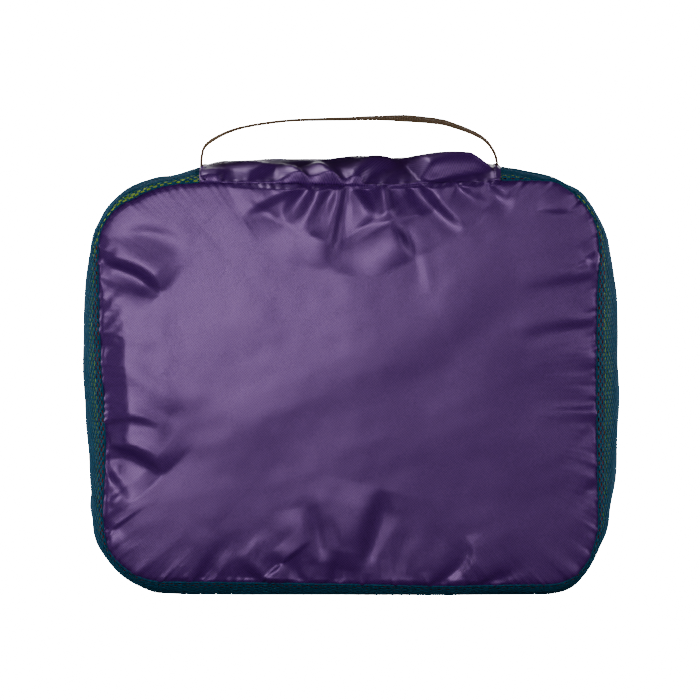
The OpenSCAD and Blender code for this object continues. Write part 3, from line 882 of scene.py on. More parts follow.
def stitches(name, path, normal, length, gap, radius, material, body="bag"):
    """A run of thread stitches along a path, each a small raised bead."""
    p = np.asarray(path, float)
    d = np.concatenate([[0], np.cumsum(np.linalg.norm(np.diff(p, axis=0), axis=1))])
    count = int(d[-1] / (length + gap))
    verts, faces = [], []
    n = np.asarray(normal, float)
    if n.ndim == 1:
        n = np.broadcast_to(n, p.shape)
    for k in range(count):
        s0 = (k + 0.5) * (length + gap) - length / 2
        prof = [(0, 0.25), (0.2, 0.85), (0.5, 1.0), (0.8, 0.85), (1, 0.25)]
        ring0 = len(verts)
        for f, w in prof:
            s = s0 + f * length
            c = np.array([np.interp(s, d, p[:, i]) for i in range(3)])
            nn = np.array([np.interp(s, d, n[:, i]) for i in range(3)])
            e = np.array([np.interp(s + 0.2, d, p[:, i]) for i in range(3)]) - c
            e /= max(np.linalg.norm(e), 1e-9)
            side = np.cross(e, nn)
            side /= max(np.linalg.norm(side), 1e-9)
            for ang in (0, 60, 120, 180, 240, 300):
                a = math.radians(ang)
                verts.append(c + radius * w * (math.cos(a) * side + 0.8 * math.sin(a) * nn) + nn * radius * 0.5 * w)
        for i in range(4):
            for q in range(6):
                a, b = ring0 + i * 6 + q, ring0 + i * 6 + (q + 1) % 6
                faces.append([a, b, b + 6, a + 6])
        faces.append([ring0 + q for q in range(5, -1, -1)])
        faces.append([ring0 + 24 + q for q in range(6)])
    o = make(name, verts, faces, material)
    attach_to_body(o, body)
    return o


def build_gusset():
    first = 0
    for name, cells, node in (("mesh_net_left_upper", 27, "mesh_gusset_left"),
            ("mesh_net_left_lower", 37, "mesh_gusset_left"), ("mesh_net_bottom_left", 22, "mesh_gusset_bottom"),
            ("mesh_net_bottom_right", 22, "mesh_gusset_bottom"), ("mesh_net_right_lower", 37, "mesh_gusset_right"),
            ("mesh_net_right_upper", 28, "mesh_gusset_right")):
        net(name, first, cells, node)
        first += cells
    # turned edges of the mesh along both seams, and the strips sewn inside them
    ls = np.arange(74.5, 801, 0.7)
    wave = 0.14 * np.sin(ls * 2 * math.pi / 3.9) + 0.1 * np.sin(ls * 2 * math.pi / 8.7)
    for name, v, r in (("mesh_edge_back", 0.004, 0.42), ("mesh_edge_front", 0.99, 0.6)):
        p = on_gusset(ls, v + 0 * ls, wave * 0.6 - 0.5)
        o = tube(name, p, r + wave * 0.5, mat_mesh, 8)
        attach(o, "bag", "teal_mesh")
    o = band("back_binding_cloth", 0, TOTAL - 1.2, 0.018, 0.14, -1.0, -2.2, 0.5, mat_binding, ripple=0.25, seed=4,
        fall=7.0)
    attach(o, "bag", "maroon_binding", "back_seam_binding", (0.01, 0.88), rests_on=["mesh_net_left_lower"])
    # the front binding is in the lighter lime copy, whose extra lightness is painted light inside the bag
    o = band("front_binding_cloth", 0, TOTAL - 1.2, 0.86, 0.985, -1.5, -1.0, 0.5, mat_lime_painted_bright, ripple=0.25, seed=5)
    attach(o, "bag", "lime_nylon", "front_seam_binding", (0.0105, 0.88))


def build_top_panel():
    """Solid panel let into the top of the gusset, gathered along the back seam."""
    xs = np.arange(-76.5, 76.51, 0.5)
    v = np.concatenate([[0.004, 0.004], np.linspace(0.004, 0.08, 12), np.linspace(0.1, 0.9, 44),
        np.linspace(0.92, 0.996, 8)])
    length = top_length(xs)
    ll, vv = np.meshgrid(length, v, indexing="ij")
    xx, dd = np.meshgrid(xs, v * TOP_ACROSS, indexing="ij")
    table = [([(-66, 1), (-65, 6), (-62, 12)], 2.0, 0.6, 5, "s"), ([(-52, 2), (-44, 9), (-36, 18)], 2.6, 0.35, 7, "b"),
        ([(-21, 0), (-26, 8), (-34, 22)], 2.2, 0.8, 6, "s"), ([(-38, 14), (-34, 6), (-30, 0)], 2.4, -0.45, 6, "b"),
        ([(-48, 0.5), (-39, 2.5), (-30, 0.5)], 1.2, -0.6, 3, "b"), ([(-5, 0), (-9, 8), (-16, 22)], 3.2, 0.8, 8, "s"),
        ([(7, 0), (9, 7), (15, 15), (28, 25)], 3.8, 0.85, 9, "s"), ([(20, 1), (24, 8), (32, 18)], 2.4, 0.6, 6, "s"),
        ([(30, 0), (38, 6), (50, 15)], 1.3, -0.6, 4, "s"), ([(36, 1), (47, 6), (60, 9), (73, 11)], 3.6, 0.85, 8, "m"),
        ([(55, 0), (64, 2.5), (72, 5)], 1.2, -0.5, 3, "b"), ([(-13, 0), (-15, 6), (-20, 15)], 1.6, -0.4, 4, "s"),
        ([(-3, 12), (-1, 5), (1, 0)], 1.6, -0.4, 4, "b")]
    h = 1.35 * FOLD_GAIN * field(table, (-78, -1, 78, 68), away=(0.95, -0.3))(xx, dd)
    edge = np.minimum(vv, 1 - vv) * TOP_ACROSS
    h = h * np.clip(edge / 3, 0.15, 1)
    h = np.where(h < 0, -2.0 * np.tanh(-h / 2.0), h)
    h += 0.2 * wave_noise(np.stack([xx, dd], -1), 30, 8) * np.clip(edge / 6, 0, 1)
    h += (0.22 * np.sin(xx * 2 * math.pi / 5.3) + 0.2 * np.sin(xx * 2 * math.pi / 9.1 + 1)) * np.exp(-edge / 3)
    h += 0.5 - 0.9 * np.exp(-edge / 0.9)
    h[:, 0], h[:, 1] = -2.6, -1.5
    g = on_gusset(ll, vv, h)
    g[..., 0] = xx
    o = shell("top_panel_cloth", g, NYLON_THICK, mat_top, cloth=np.stack([xx, dd], -1), side=1.0 if facing(g) else -1.0)
    attach(o, "bag", "purple_nylon", "top_panel")
    panel, sewn_on = o, []
    for side, tag in ((-1, "left"), (1, "right")):
        f = np.linspace(0, 1, 9)
        vs = np.linspace(0.004, 0.996, 90)
        vv, ff = np.meshgrid(vs, f, indexing="ij")
        x = side * (73.5 + 3.5 * ff)
        lift = 0.55 + 0.75 * np.sin(math.pi * np.clip(ff * 0.96 + 0.03, 0, 1)) ** 0.5
        lift += 0.12 * wave_noise(np.stack([vv * TOP_ACROSS, ff * 4], -1), 9, 31 + side)
        g = on_gusset(top_length(x), vv, lift)
        g[..., 0] = x
        o = shell(f"top_hem_{tag}_cloth", g, 0.4, mat_top, cloth=np.stack([x, vv * TOP_ACROSS], -1),
            side=1.0 if facing(g) else -1.0)
        attach(o, "bag", "purple_nylon", f"top_panel_hem_{tag}")
        sewn_on.append(o)
        vs = np.linspace(0.02, 0.98, 60)
        x = np.full_like(vs, side * 74.4)
        p, n = (on_gusset(top_length(x), vs, up + 0 * vs) for up in (1.14, 2.14))
        p[:, 0] = n[:, 0] = x
        o = stitches(f"hem_stitches_{tag}", p, n - p, 2.2, 0.9, 0.22, mat_thread)


# ---------------------------------------------------------------- handle

SWING_Z = 229.0
STRAP = [(-76.3, 217.5), (-76.3, 221), (-75.9, 225), (-74.4, 229.4), (-69.4, 233.4), (-60.2, 237.7), (-48.9, 240.4),
    (-32.1, 242.6), (-15.1, 243.3), (0, 243.6), (11.7, 244.0), (28.6, 243.8), (45.5, 242.2), (53.4, 240.1),
    (62.4, 236.7), (69.3, 232.6), (73.8, 226.6), (75.4, 220.8), (75.5, 217.5)]


def build_handle():
    line = smooth_path(STRAP, 220) - [0, SWING_Z]
    d = np.concatenate([[0], np.cumsum(np.linalg.norm(np.diff(line, axis=0), axis=1))])
    s = np.arange(0, d[-1], 0.6)
    cx, cz = np.interp(s, d, line[:, 0]), np.interp(s, d, line[:, 1])
    # a little unevenness, and a slight twist right of the middle
    twist = np.radians(np.interp(cx, [-70, -55, -30, 0, 15, 28, 45, 60, 72], [0, -2.5, -3, -0.5, 1.5, 5.5, 4.0, 2, 0]))
    tx, tz = np.gradient(cx), np.gradient(cz)
    n = np.hypot(tx, tz)
    tx, tz = tx / n, tz / n
    nx, nz = tz, -tx
    if nz[len(nz) // 2] < 0:
        nx, nz = -nx, -nz
    half_w = np.interp(cz, [-9, -1, 5, 7], [8.0, 8.2, 9.7, 10.0])
    t = np.linspace(0, 2 * math.pi, 44, endpoint=False)
    prof_w = np.sign(np.cos(t)) * np.abs(np.cos(t)) ** 0.55
    prof_h = np.sign(np.sin(t)) * np.abs(np.sin(t)) ** 0.5
    ribs = 0.05 * np.sin(prof_w * 9 * math.pi)
    w = half_w[:, None] * prof_w[None, :]
    h = (0.70 + ribs[None, :] + 0.03 * np.sin(s * 2 * math.pi / 1.4)[:, None]) * prof_h[None, :]
    yy = w * np.cos(twist)[:, None] - h * np.sin(twist)[:, None]
    hh = w * np.sin(twist)[:, None] + h * np.cos(twist)[:, None]
    g = np.stack([cx[:, None] + nx[:, None] * hh, yy, SWING_Z + cz[:, None] + nz[:, None] * hh], -1)
    k = len(t)
    cl = np.stack([np.repeat(s, k), np.tile(prof_w * 10, len(s))], 1)
    o = make("handle_webbing", g.reshape(-1, 3), tube_faces(len(s), k), mat_strap, cl)
    face_out(o)
    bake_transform(o)
    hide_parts("handle_strap", "handle_anchor_left", "handle_anchor_right")


# ---------------------------------------------------------------- front: rim, band, lid, zip

ZIP_X = 133 - 16.1
FOLD = 45.0


def front_ring_lengths(z_low, step=1.0):
    """Lengths round the bag from the left side at z_low, over the top, to the right side."""
    _, z = front_outline(np.arange(0, 300, 0.25), 10.0)
    below = np.nonzero(z < z_low)[0]
    end = below[0] * 0.25 if len(below) else 285.0
    return np.linspace(-end, end, int(2 * end / step))


def front_band(name, in0, in1, z_low, y, thick, material, rows, bulge=0.0, outer_edge=False, ripple=0.0, seed=1,
        step=1.0):
    ls = front_ring_lengths(z_low, step)
    f = np.linspace(0, 1, rows)
    along, ff = np.broadcast_arrays(ls[:, None], f[None, :])
    fx, fz = front_outline(along, in0 + (in1 - in0) * ff)
    if outer_edge:
        ox, oz = front_outline(ls, 0.0)
        ix, iz = front_outline(ls, in1)
        fx = ox[:, None] + (ix - ox)[:, None] * f[None, :]
        fz = oz[:, None] + (iz - oz)[:, None] * f[None, :]
    yy = y + bulge * np.sin(math.pi * ff) ** 0.6 + ripple * wave_noise(np.stack([along, 10 * ff], -1), 17, seed)
    g = np.stack([fx, yy, fz], -1)
    cl = np.stack([along, (in1 - in0) * ff], -1)
    return shell(name, g, thick, material, cloth=cl, side=toward_lid(g))


def patch(name, sdf, box, pitch, height, thick, material):
    """Cloth over the region where sdf is below zero, on a square grid with its edge snapped to the outline."""
    x, z = plane(box, pitch)
    keep = sdf(x, z) < pitch * 0.55
    q = whole_cells(keep)
    used = np.zeros_like(keep)
    for a in (slice(0, -1), slice(1, None)):
        for b in (slice(0, -1), slice(1, None)):
            used[a, b] |= q
    inside = np.zeros_like(keep)
    inside[1:-1, 1:-1] = q[:-1, :-1] & q[1:, :-1] & q[:-1, 1:] & q[1:, 1:]
    rim = used & ~inside
    for _ in range(4):
        s = sdf(x, z)
        e = 0.05
        gx, gz = (sdf(x + e, z) - sdf(x - e, z)) / (2 * e), (sdf(x, z + e) - sdf(x, z - e)) / (2 * e)
        m = np.maximum(np.hypot(gx, gz), 0.3)
        x = np.where(rim, x - s * gx / m**2, x)
        z = np.where(rim, z - s * gz / m**2, z)
    y = height(x, z, np.maximum(-sdf(x, z), 0))
    index = -np.ones(x.shape, int)
    index[used] = np.arange(used.sum())
    i, j = np.nonzero(q)
    top = np.stack([index[i, j], index[i, j + 1], index[i + 1, j + 1], index[i + 1, j]], 1)
    v = np.stack([x[used], y[used], z[used]], 1)
    k = len(v)
    back = v - [0, thick, 0]
    edges = {}
    for a, b in np.concatenate([top[:, [0, 1]], top[:, [1, 2]], top[:, [2, 3]], top[:, [3, 0]]]).tolist():
        if (b, a) in edges:
            del edges[(b, a)]
        else:
            edges[(a, b)] = 1
    side = [[a, a + k, b + k, b] for a, b in edges]
    faces = top.tolist() + (top[:, ::-1] + k).tolist() + side
    o = make(name, np.concatenate([v, back]), faces, material, np.concatenate([v[:, [0, 2]]] * 2))
    face_out(o)
    return o


def round_rect_sdf(x, z, hw, z0, z1, r):
    hx, hz = np.abs(x) - (hw - r), np.abs(z - (z0 + z1) / 2) - ((z1 - z0) / 2 - r)
    return np.hypot(np.maximum(hx, 0), np.maximum(hz, 0)) + np.minimum(np.maximum(hx, hz), 0) - r


def slots_sdf(x, z):
    return np.maximum(np.abs(np.abs(x) - ZIP_X) - 5.6, 24 - z)


def band_sdf(x, z):
    outline = np.maximum(round_rect_sdf(x, z, 134.5, 1.1, 218.5, 45.5), EDGE_Z - z)
    return np.maximum(np.maximum(outline, z - (FOLD - 0.7)), -slots_sdf(x, z))


def lid_sdf(x, z):
    return np.maximum(round_rect_sdf(x, z, 110.3, -60, 194.3, 21.3), (FOLD - 0.6) - z)


LID_CREASES = [([(-60, 193), (-56, 182), (-50, 172)], 2.4, 0.3, 8, "s"),
    ([(10, 193), (13, 184), (15, 172)], 2.2, 0.3, 8, "s"),
    ([(58, 193), (52, 184), (48, 172)], 2.2, 0.25, 8, "s"), ([(-109, 130), (-98, 134), (-84, 136)], 2.0, 0.25, 7, "s"),
    ([(-109, 92), (-96, 90), (-82, 92)], 2.2, 0.25, 7, "s"), ([(109, 110), (98, 114), (86, 114)], 2.2, 0.25, 7, "s"),
    ([(109, 150), (96, 148), (84, 150)], 2.0, 0.25, 7, "s"), ([(-100, 60), (-60, 52), (-20, 50)], 2.5, 0.2, 8, "b"),
    ([(100, 62), (56, 53), (10, 50)], 2.5, 0.2, 8, "b")]


LID_LOOSE = settle("lid_cloth_settling", lid_sdf, (-112, 44, 112, 196), 2.5, 0.012, 4.0, 1.5, 30)


def lid_height(x, z, d):
    up = np.clip((z - FOLD) / 10, 0, 1)
    top = 5.2 * (1 - np.exp(-d / 30)) * up + 1.8 * (1 - np.exp(-d / 60)) * up
    h = top + creases(x, z, LID_CREASES) * np.clip(d / 5, 0.1, 1) * up
    h = h + 0.45 * wave_noise(np.stack([x, z], -1), 42, 71) * np.clip(d / 12, 0, 1)
    h = h + 0.7 * LID_LOOSE(x, z) * (0.25 + 0.75 * np.exp(-((d / 22) ** 2))) * up
    h = h + 0.12 * wave_noise(np.stack([x, z], -1), 9, 72) * np.exp(-d / 8)
    return DEPTH + 0.75 + np.maximum(h, -0.15) - 0.25 * np.exp(-d / 0.8)


def band_height(x, z, d):
    h = 0.5 * wave_noise(np.stack([x, z], -1), 30, 73) * np.clip(d / 8, 0, 1)
    h = h + 1.6 * (1 - np.exp(-np.maximum(d, 0) / 14))
    h = h * np.clip((np.abs(np.abs(x) - ZIP_X) - 5) / 10, 0.1, 1) + 0.1 * wave_noise(np.stack([x, z], -1), 8, 74)
    return DEPTH + 0.8 + np.maximum(h, -0.1) - 0.25 * np.exp(-d / 0.8)


def coil(name, inset, direction, z_low, body, node):
    """One row of coil teeth along the front, each a rounded bar leaning over the slot."""
    verts, faces = [], []
    lengths = even_lengths(inset, z_low, COIL_PITCH)
    x, z = front_outline(lengths, np.full_like(lengths, inset))
    x2, z2 = front_outline(lengths, np.full_like(lengths, inset + 1.0))
    tooth(verts, faces, x, z, x2 - x, z2 - z, direction)
    attach(make(name, verts, faces, mat_coil), body, "zip_coil", node)


def tooth(verts, faces, xs, zs, ix, iz, direction):
    for x, z, a, b in zip(xs, zs, ix, iz):
        n = math.hypot(a, b)
        a, b = a / n * direction, b / n * direction
        base = len(verts)
        stops = [(-1.25, 0.55, 0.2), (-1.1, 0.85, 0.42), (-0.3, 1.25, 0.46), (0.7, 1.35, 0.5), (1.3, 1.2, 0.62),
            (1.52, 0.9, 0.4), (1.56, 0.6, 0.12)]
        for f, y, r in stops:
            cx, cz = x + a * f, z + b * f
            for ang in range(0, 360, 60):
                c, s = math.cos(math.radians(ang)) * r, math.sin(math.radians(ang)) * r
                verts.append((cx - b * c, DEPTH + y + s * 0.9, cz + a * c))
        for i in range(len(stops) - 1):
            for q in range(6):
                u, w = base + i * 6 + q, base + i * 6 + (q + 1) % 6
                faces.append([u, w, w + 6, u + 6])
        faces.append([base + q for q in range(5, -1, -1)])
        faces.append([base + (len(stops) - 1) * 6 + q for q in range(6)])


def even_lengths(inset, z_low, pitch):
    ls = np.linspace(-300, 300, 4001)
    x, z = front_outline(ls, np.full_like(ls, inset))
    ok = (z > z_low) & (np.abs(ls) < 285)
    ls, x, z = ls[ok], x[ok], z[ok]
    d = np.concatenate([[0], np.cumsum(np.hypot(np.diff(x), np.diff(z)))])
    return np.interp(np.arange(pitch / 2, d[-1], pitch), d, ls)


def build_front():
    o = front_band("front_rim_cloth", 0, 9.5, FOLD - 0.6, DEPTH + 0.75, NYLON_THICK, mat_lime, 12, bulge=0.8,
        outer_edge=True, ripple=0.18, seed=9)
    attach(o, "bag", "lime_nylon", "front_rim", (0.0105, 0.53))
    o = patch("lower_band_cloth", band_sdf, (-134, 2, 134, 46), 1.25, band_height, NYLON_THICK, mat_lime)
    attach(o, "bag", "lime_nylon", "front_lower_band")
    o = patch("lid_cloth", lid_sdf, (-111, 44, 111, 195), 1.3, lid_height, NYLON_THICK, mat_lime)
    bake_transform(o)
    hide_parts("lid_panel")
    for name, near, far, z_low, node, body in (("body_tape_cloth", 5.2, 15.88, FOLD - 0.9, "body_zip_tape", "bag"),
            ("lid_tape_cloth", 16.32, 26.5, FOLD + 0.9, "lid_zip_tape", "lid")):
        o = front_band(name, near, far, z_low, DEPTH + 0.05, 0.5, mat_tape, 9)
        attach(o, body, "zip_tape", node, (0.0102, 0.53))
    # lime facing inside the rim, behind the zip tape, in the lighter lime copy whose extra lightness is painted light
    o = front_band("rim_facing_cloth", 1.0, 11.2, FOLD, DEPTH - 0.95, 0.4, mat_lime_painted_bright, 8)
    attach(o, "bag", "lime_nylon", flat=(0.0102, 0.53))
    coil("body_coil_teeth", 14.36, 1, FOLD - 0.4, "bag", "body_zip_coil")
    coil("lid_coil_teeth", 17.84, -1, FOLD + 1.3, "lid", "lid_zip_coil")
    tabs = [build_zip_end(side, tag) for side, tag in ((-1, "left"), (1, "right"))]


def build_zip_end(side, tag):
    """Closed chain, end tab, slider and pull on one side."""
    x0 = side * ZIP_X
    zs = np.linspace(24.2, 45.6, 22)
    g = np.stack(np.meshgrid(np.linspace(-6.4, 6.4, 11) + x0, zs, indexing="ij"), -1)
    g = np.stack([g[..., 0], 0 * g[..., 0] + DEPTH - 0.08, g[..., 1]], -1)
    o = shell(f"chain_tape_{tag}", g, 0.5, mat_tape, cloth=g[..., [2, 0]], side=toward_lid(g))
    attach(o, "bag", "zip_tape", flat=(0.0128, 0.0214))
    verts, faces = [], []
    zs = np.arange(25.6, 41.9, COIL_PITCH)
    for d in (-1, 1):
        z = zs + (0.67 if d > 0 else 0)
        tooth(verts, faces, np.full_like(z, x0 + d * 1.75), z, np.full_like(z, 1.0), np.zeros_like(z), -d)
    o = make(f"chain_teeth_{tag}", verts, faces, mat_coil)
    attach(o, "bag", "zip_coil", f"zip_chain_{tag}")
    f, h = np.meshgrid(np.linspace(-5.6, 5.6, 15), np.linspace(19.0, 24.8, 9), indexing="ij")
    puff = np.sqrt(np.clip(np.sin((h - 19) / 5.8 * math.pi), 0, 1))
    g = np.stack([x0 + f, DEPTH + 1.25 + 0.35 * np.cos(f / 5.6 * 1.5) * puff, h], -1)
    o = shell(f"zip_end_tab_{tag}_cloth", g, NYLON_THICK, mat_lime, side=toward_lid(g))
    attach(o, "bag", "lime_nylon", f"zip_end_tab_{tag}")
    tab = o
    for k, z in enumerate((20.0, 23.8)):
        p = np.stack([np.linspace(x0 - 5, x0 + 5, 12), np.full(12, DEPTH + 1.62), np.full(12, z)], 1)
        o = stitches(f"end_tab_stitches_{tag}_{k}", p, (0, 1, 0), 1.6, 0.7, 0.2, mat_lime_thread)
    build_slider(x0, tag)
    return tab


def solid(name, parts, material, bevel, body, slot, node=None):
    """Boxes and outlines joined as one object with rounded edges. parts are lists of (verts, faces)."""
    v, f = [], []
    for pv, pf in parts:
        f += [[i + len(v) for i in face] for face in pf]
        v += [tuple(p) for p in pv]
    o = make(name, v, f, material, smooth=False)
    bm = bmesh.new()
    bm.from_mesh(o.data)
    bmesh.ops.recalc_face_normals(bm, faces=bm.faces)
    sharp = [e for e in bm.edges if len(e.link_faces) == 2 and e.calc_face_angle(0) > 0.5]
    bmesh.ops.bevel(bm, geom=sharp, offset=bevel * 0.001, segments=3, affect="EDGES", clamp_overlap=True)
    for face in bm.faces:
        face.smooth = True
    bm.to_mesh(o.data)
    bm.free()
    return attach(o, body, slot, node)


def block(lo, hi):
    v = [(x, y, z) for x in (lo[0], hi[0]) for y in (lo[1], hi[1]) for z in (lo[2], hi[2])]
    return v, [[0, 1, 3, 2], [4, 6, 7, 5], [0, 4, 5, 1], [2, 3, 7, 6], [0, 2, 6, 4], [1, 5, 7, 3]]


def prism(points, y0, y1, hole=None):
    """Outline in x, z between two depths; a hole needs the same number of points."""
    n = len(points)
    v = [(x, y0, z) for x, z in points] + [(x, y1, z) for x, z in points]
    if hole is None:
        return v, [list(range(n)), list(range(n, 2 * n))[::-1]] + [[i, (i + 1) % n, n + (i + 1) % n, n + i] for i in
            range(n)]
    v += [(x, y0, z) for x, z in hole] + [(x, y1, z) for x, z in hole]
    f = []
    for i in range(n):
        j = (i + 1) % n
        f += [[i, j, n + j, n + i], [2 * n + i, 3 * n + i, 3 * n + j, 2 * n + j], [i, 2 * n + i, 2 * n + j, j],
            [n + i, n + j, 3 * n + j, 3 * n + i]]
    return v, f


def build_slider(x0, tag):
    z0, py, pz = 33.0, DEPTH + 4.95, 34.5
    top = [(-4.0, 3.6), (-2.2, 4.6), (2.2, 4.6), (4.0, 3.6), (4.6, 1.0), (3.9, -4.0), (2.6, -4.6), (-2.6, -4.6),
        (-3.9, -4.0), (-4.6, 1.0)]
    shape = [(x0 + x, z0 + z) for x, z in top]
    parts = [prism(shape, DEPTH + 2.5, DEPTH + 3.65), prism(shape, DEPTH - 2.3, DEPTH - 1.15)]
    for s in (-1, 1):
        xa, xb = sorted((x0 + s * 3.75, x0 + s * 4.5))
        parts.append(block((xa, DEPTH + 0.4, z0 - 2.6), (xb, DEPTH + 2.7, z0 + 2.6)))
    parts.append(block((x0 - 0.11, DEPTH - 1.3, z0 + 1.6), (x0 + 0.11, DEPTH + 2.6, z0 + 4.4)))
    solid(f"slider_{tag}_body", parts, mat_metal, 0.28, f"slider_{tag}", "zip_metal", f"zip_slider_{tag}")
    # bail: an arch over the plate
    arch = [(-1.35, -1.5), (0.6, -1.4), (1.35, -0.3), (1.4, 1.6), (1.1, 2.9), (0.2, 3.6), (-1.35, 3.9)]
    path = np.array([(x0, py + y, pz + z) for y, z in smooth_path(arch, 24)])
    d = np.gradient(path, axis=0)
    d /= np.linalg.norm(d, axis=1, keepdims=True)
    out = np.cross(d, [1, 0, 0])
    ring = [(-0.62, -0.36), (-0.4, -0.45), (0.4, -0.45), (0.62, -0.36), (0.62, 0.36), (0.4, 0.45), (-0.4, 0.45),
        (-0.62, 0.36)]
    v = [tuple(p + np.array([a, 0, 0]) + o * b) for p, o in zip(path, out) for a, b in ring]
    f = [[i * 8 + q, i * 8 + (q + 1) % 8, i * 8 + 8 + (q + 1) % 8, i * 8 + 8 + q] for i in range(23) for q in range(8)]
    f += [list(range(8))[::-1], list(range(184, 192))]
    o = make(f"slider_{tag}_bail", v, f, mat_metal)
    attach(o, f"slider_{tag}", "zip_metal")
    # pull tab with its cross bar, then the folded webbing
    outer = [(-3.3, 0.3), (-1.6, 0.5), (1.6, 0.5), (3.3, 0.3), (3.4, -4.8), (3.9, -5.6), (3.9, -10.9), (3.0, -11.6),
        (-3.0, -11.6), (-3.9, -10.9), (-3.9, -5.6), (-3.4, -4.8)]
    gap = [(-1.9, -0.55), (-0.8, -0.55), (0.8, -0.55), (1.9, -0.55), (1.9, -2.4), (1.9, -3.4), (1.9, -4.6), (0.9, -5.1),
        (-0.9, -5.1), (-1.9, -4.6), (-1.9, -3.4), (-1.9, -2.4)]
    place = lambda pts: [(x0 + x, pz + z) for x, z in pts]
    upper = [(x, max(z, -7.4)) for x, z in outer]
    frame_top = prism(place(upper), py - 0.5, py + 0.5, place(gap))
    lower = [block((x0 - 3.9, py - 0.5, pz - 11.0), (x0 - 3.1, py + 0.5, pz - 7.3)),
        block((x0 + 3.1, py - 0.5, pz - 11.0), (x0 + 3.9, py + 0.5, pz - 7.3)),
        block((x0 - 3.9, py - 0.5, pz - 11.6), (x0 + 3.9, py + 0.5, pz - 9.8))]
    solid(f"pull_{tag}_tab", [frame_top, *lower], mat_metal, 0.22, f"pull_{tag}", "zip_metal", f"pull_tab_{tag}")
    side = [(0.0, -8.75), (0.9, -9.1), (1.25, -10.2), (1.15, -12.6), (1.0, -16), (1.05, -22), (0.95, -26.6), (0.4, -27),
        (-0.4, -27), (-0.95, -26.6), (-1.05, -22), (-1.0, -16), (-1.15, -12.6), (-1.25, -10.2), (-0.9, -9.1)]
    p = np.array([(py + a, pz + b) for a, b in side])
    ws = np.linspace(-2.8, 2.8, 15)
    g = np.stack([np.stack([np.full(len(p), x0 + w), p[:, 0] + 0.06 * math.sin(w * 4), p[:, 1]], 1) for w in ws])
    n, m = len(ws), len(p)
    cl = np.stack([np.repeat(np.arange(n), m) * 0.4, np.tile(p[:, 1], n)], 1)[:, ::-1]
    o = make(f"pull_{tag}_webbing", g.reshape(-1, 3), tube_faces(n, m), mat_strap, cl)
    bm = bmesh.new()
    bm.from_mesh(o.data)
    bmesh.ops.recalc_face_normals(bm, faces=bm.faces)
    edges = [e for e in bm.edges if len(e.link_faces) == 2 and e.calc_face_angle(0) > 1.0]
    bmesh.ops.bevel(bm, geom=edges, offset=0.0002, segments=2, affect="EDGES")
    bm.to_mesh(o.data)
    bm.free()
    attach(o, f"pull_{tag}", "brown_webbing", f"pull_webbing_{tag}")
    for k, z in enumerate((pz - 15.0, pz - 24.5)):
        path = np.stack([np.linspace(x0 - 2.4, x0 + 2.4, 8), np.full(8, py + 1.0), np.full(8, z)], 1)
        o = stitches(f"pull_{tag}_stitches_{k}", path, (0, 1, 0), 1.2, 0.5, 0.16, mat_brown_thread, f"pull_{tag}")


# ---------------------------------------------------------------- stage


def put(name, data, place=(0, 0, 0), target=None):
    o = bpy.data.objects.new(name, data)
    bpy.context.scene.collection.objects.link(o)
    o.location = place
    if target is not None:
        o.rotation_euler = (Vector(target) - o.location).to_track_quat("-Z", "Y").to_euler()
    return o


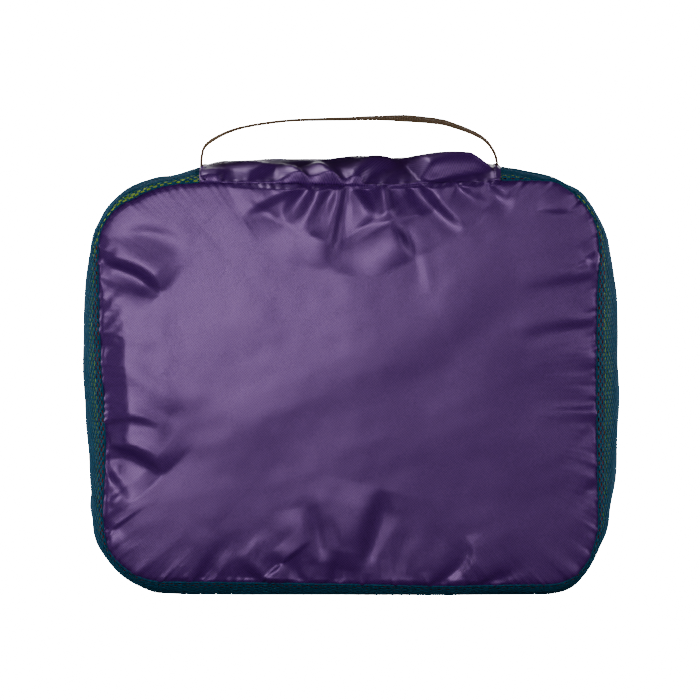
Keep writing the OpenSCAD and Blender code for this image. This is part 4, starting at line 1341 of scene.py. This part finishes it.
def build_stage():
    floor_mat = Nodes("stage_floor")
    v = floor_mat.coords()
    col = floor_mat.ramp(floor_mat.noise(v, 3, 2), [(0.3, (0.13, 0.13, 0.13)), (0.7, (0.15, 0.15, 0.15))])
    floor_mat.link(col, floor_mat.bsdf.inputs["Base Color"])
    floor_mat.bsdf.inputs["Roughness"].default_value = 0.9
    glow = floor_mat.add("ShaderNodeEmission")
    glow.inputs["Strength"].default_value = WHITE_TO_CAMERA
    seen = floor_mat.add("ShaderNodeLightPath")
    pick = floor_mat.add("ShaderNodeMixShader")
    floor_mat.link(seen.outputs["Is Camera Ray"], pick.inputs[0])
    floor_mat.link(floor_mat.bsdf.outputs[0], pick.inputs[1])
    floor_mat.link(glow.outputs[0], pick.inputs[2])
    floor_mat.link(pick.outputs[0], floor_mat.t.nodes["Material Output"].inputs["Surface"])
    me = bpy.data.meshes.new("floor")
    me.from_pydata([(-14, -14, 0), (14, -14, 0), (14, 14, 0), (-14, 14, 0)], [], [(0, 1, 2, 3)])
    me.materials.append(floor_mat.mat)
    put("floor", me)
    world = bpy.data.worlds.new("studio")
    bpy.context.scene.world = world
    world.use_nodes = True
    t = world.node_tree
    bg = t.nodes["Background"]
    seen = t.nodes.new("ShaderNodeBackground")
    seen.inputs["Strength"].default_value = WHITE_TO_CAMERA
    bg.inputs["Color"].default_value = (0.95, 0.97, 1.0, 1)
    bg.inputs["Strength"].default_value = 0.03
    mix = t.nodes.new("ShaderNodeMixShader")
    path = t.nodes.new("ShaderNodeLightPath")
    t.links.new(path.outputs["Is Camera Ray"], mix.inputs[0])
    t.links.new(bg.outputs[0], mix.inputs[1])
    t.links.new(seen.outputs[0], mix.inputs[2])
    t.links.new(mix.outputs[0], t.nodes["World Output"].inputs["Surface"])

    # name, place, target, size, power
    for name, place, target, size, power in (("key", (-0.2, -0.66, 0.195), (-0.04, 0, 0.12), 0.32, 1.6),
            ("top", (-0.4, 0.3, 0.85), (0, 0, 0.2), 0.35, 2.3), ("fill", (0.52, -1.4, 0.3), (0, 0, 0.1), 0.7, 1.2),
            ("right", (0.75, 0.22, 0.3), (0.13, 0, 0.11), 0.5, 3.4),
            ("left", (-0.8, 0.22, 0.3), (-0.13, 0, 0.11), 0.5, 3.4),
            ("right_front", (0.6, -0.55, 0.3), (0.1, 0, 0.12), 0.3, 0.7),
            ("back", (0.1, 1.1, 0.02), (0, 0, 0.1), 0.8, 15.0)):
        light = bpy.data.lights.new(name, "AREA")
        light.energy, light.size = power, size
        put(name, light, place, target)

    # daylight that finds its way in through the net
    for tag, x, power in (("left", -0.085, 0.11), ("right", 0.085, 0.06)):
        light = bpy.data.lights.new("inside_" + tag, "POINT")
        light.energy, light.shadow_soft_size = power, 0.02
        put("inside_" + tag, light, (x, -0.004, 0.155))

    cam = bpy.data.cameras.new("camera")
    dist, e = 6.0, math.radians(4.5)
    aim = Vector((0, 0, 0.1243 / math.cos(e)))
    o = put("camera", cam, aim + Vector((0, -math.cos(e), math.sin(e))) * dist, aim)
    cam.sensor_width = 36
    cam.lens = 36 * (dist - 0.03) / (700 * 0.511 * 0.001)
    cam.clip_start, cam.clip_end = 0.05, 30
    bpy.context.scene.camera = o


build_stage()
build_back_panel()
build_gusset()
build_top_panel()
build_handle()
build_front()
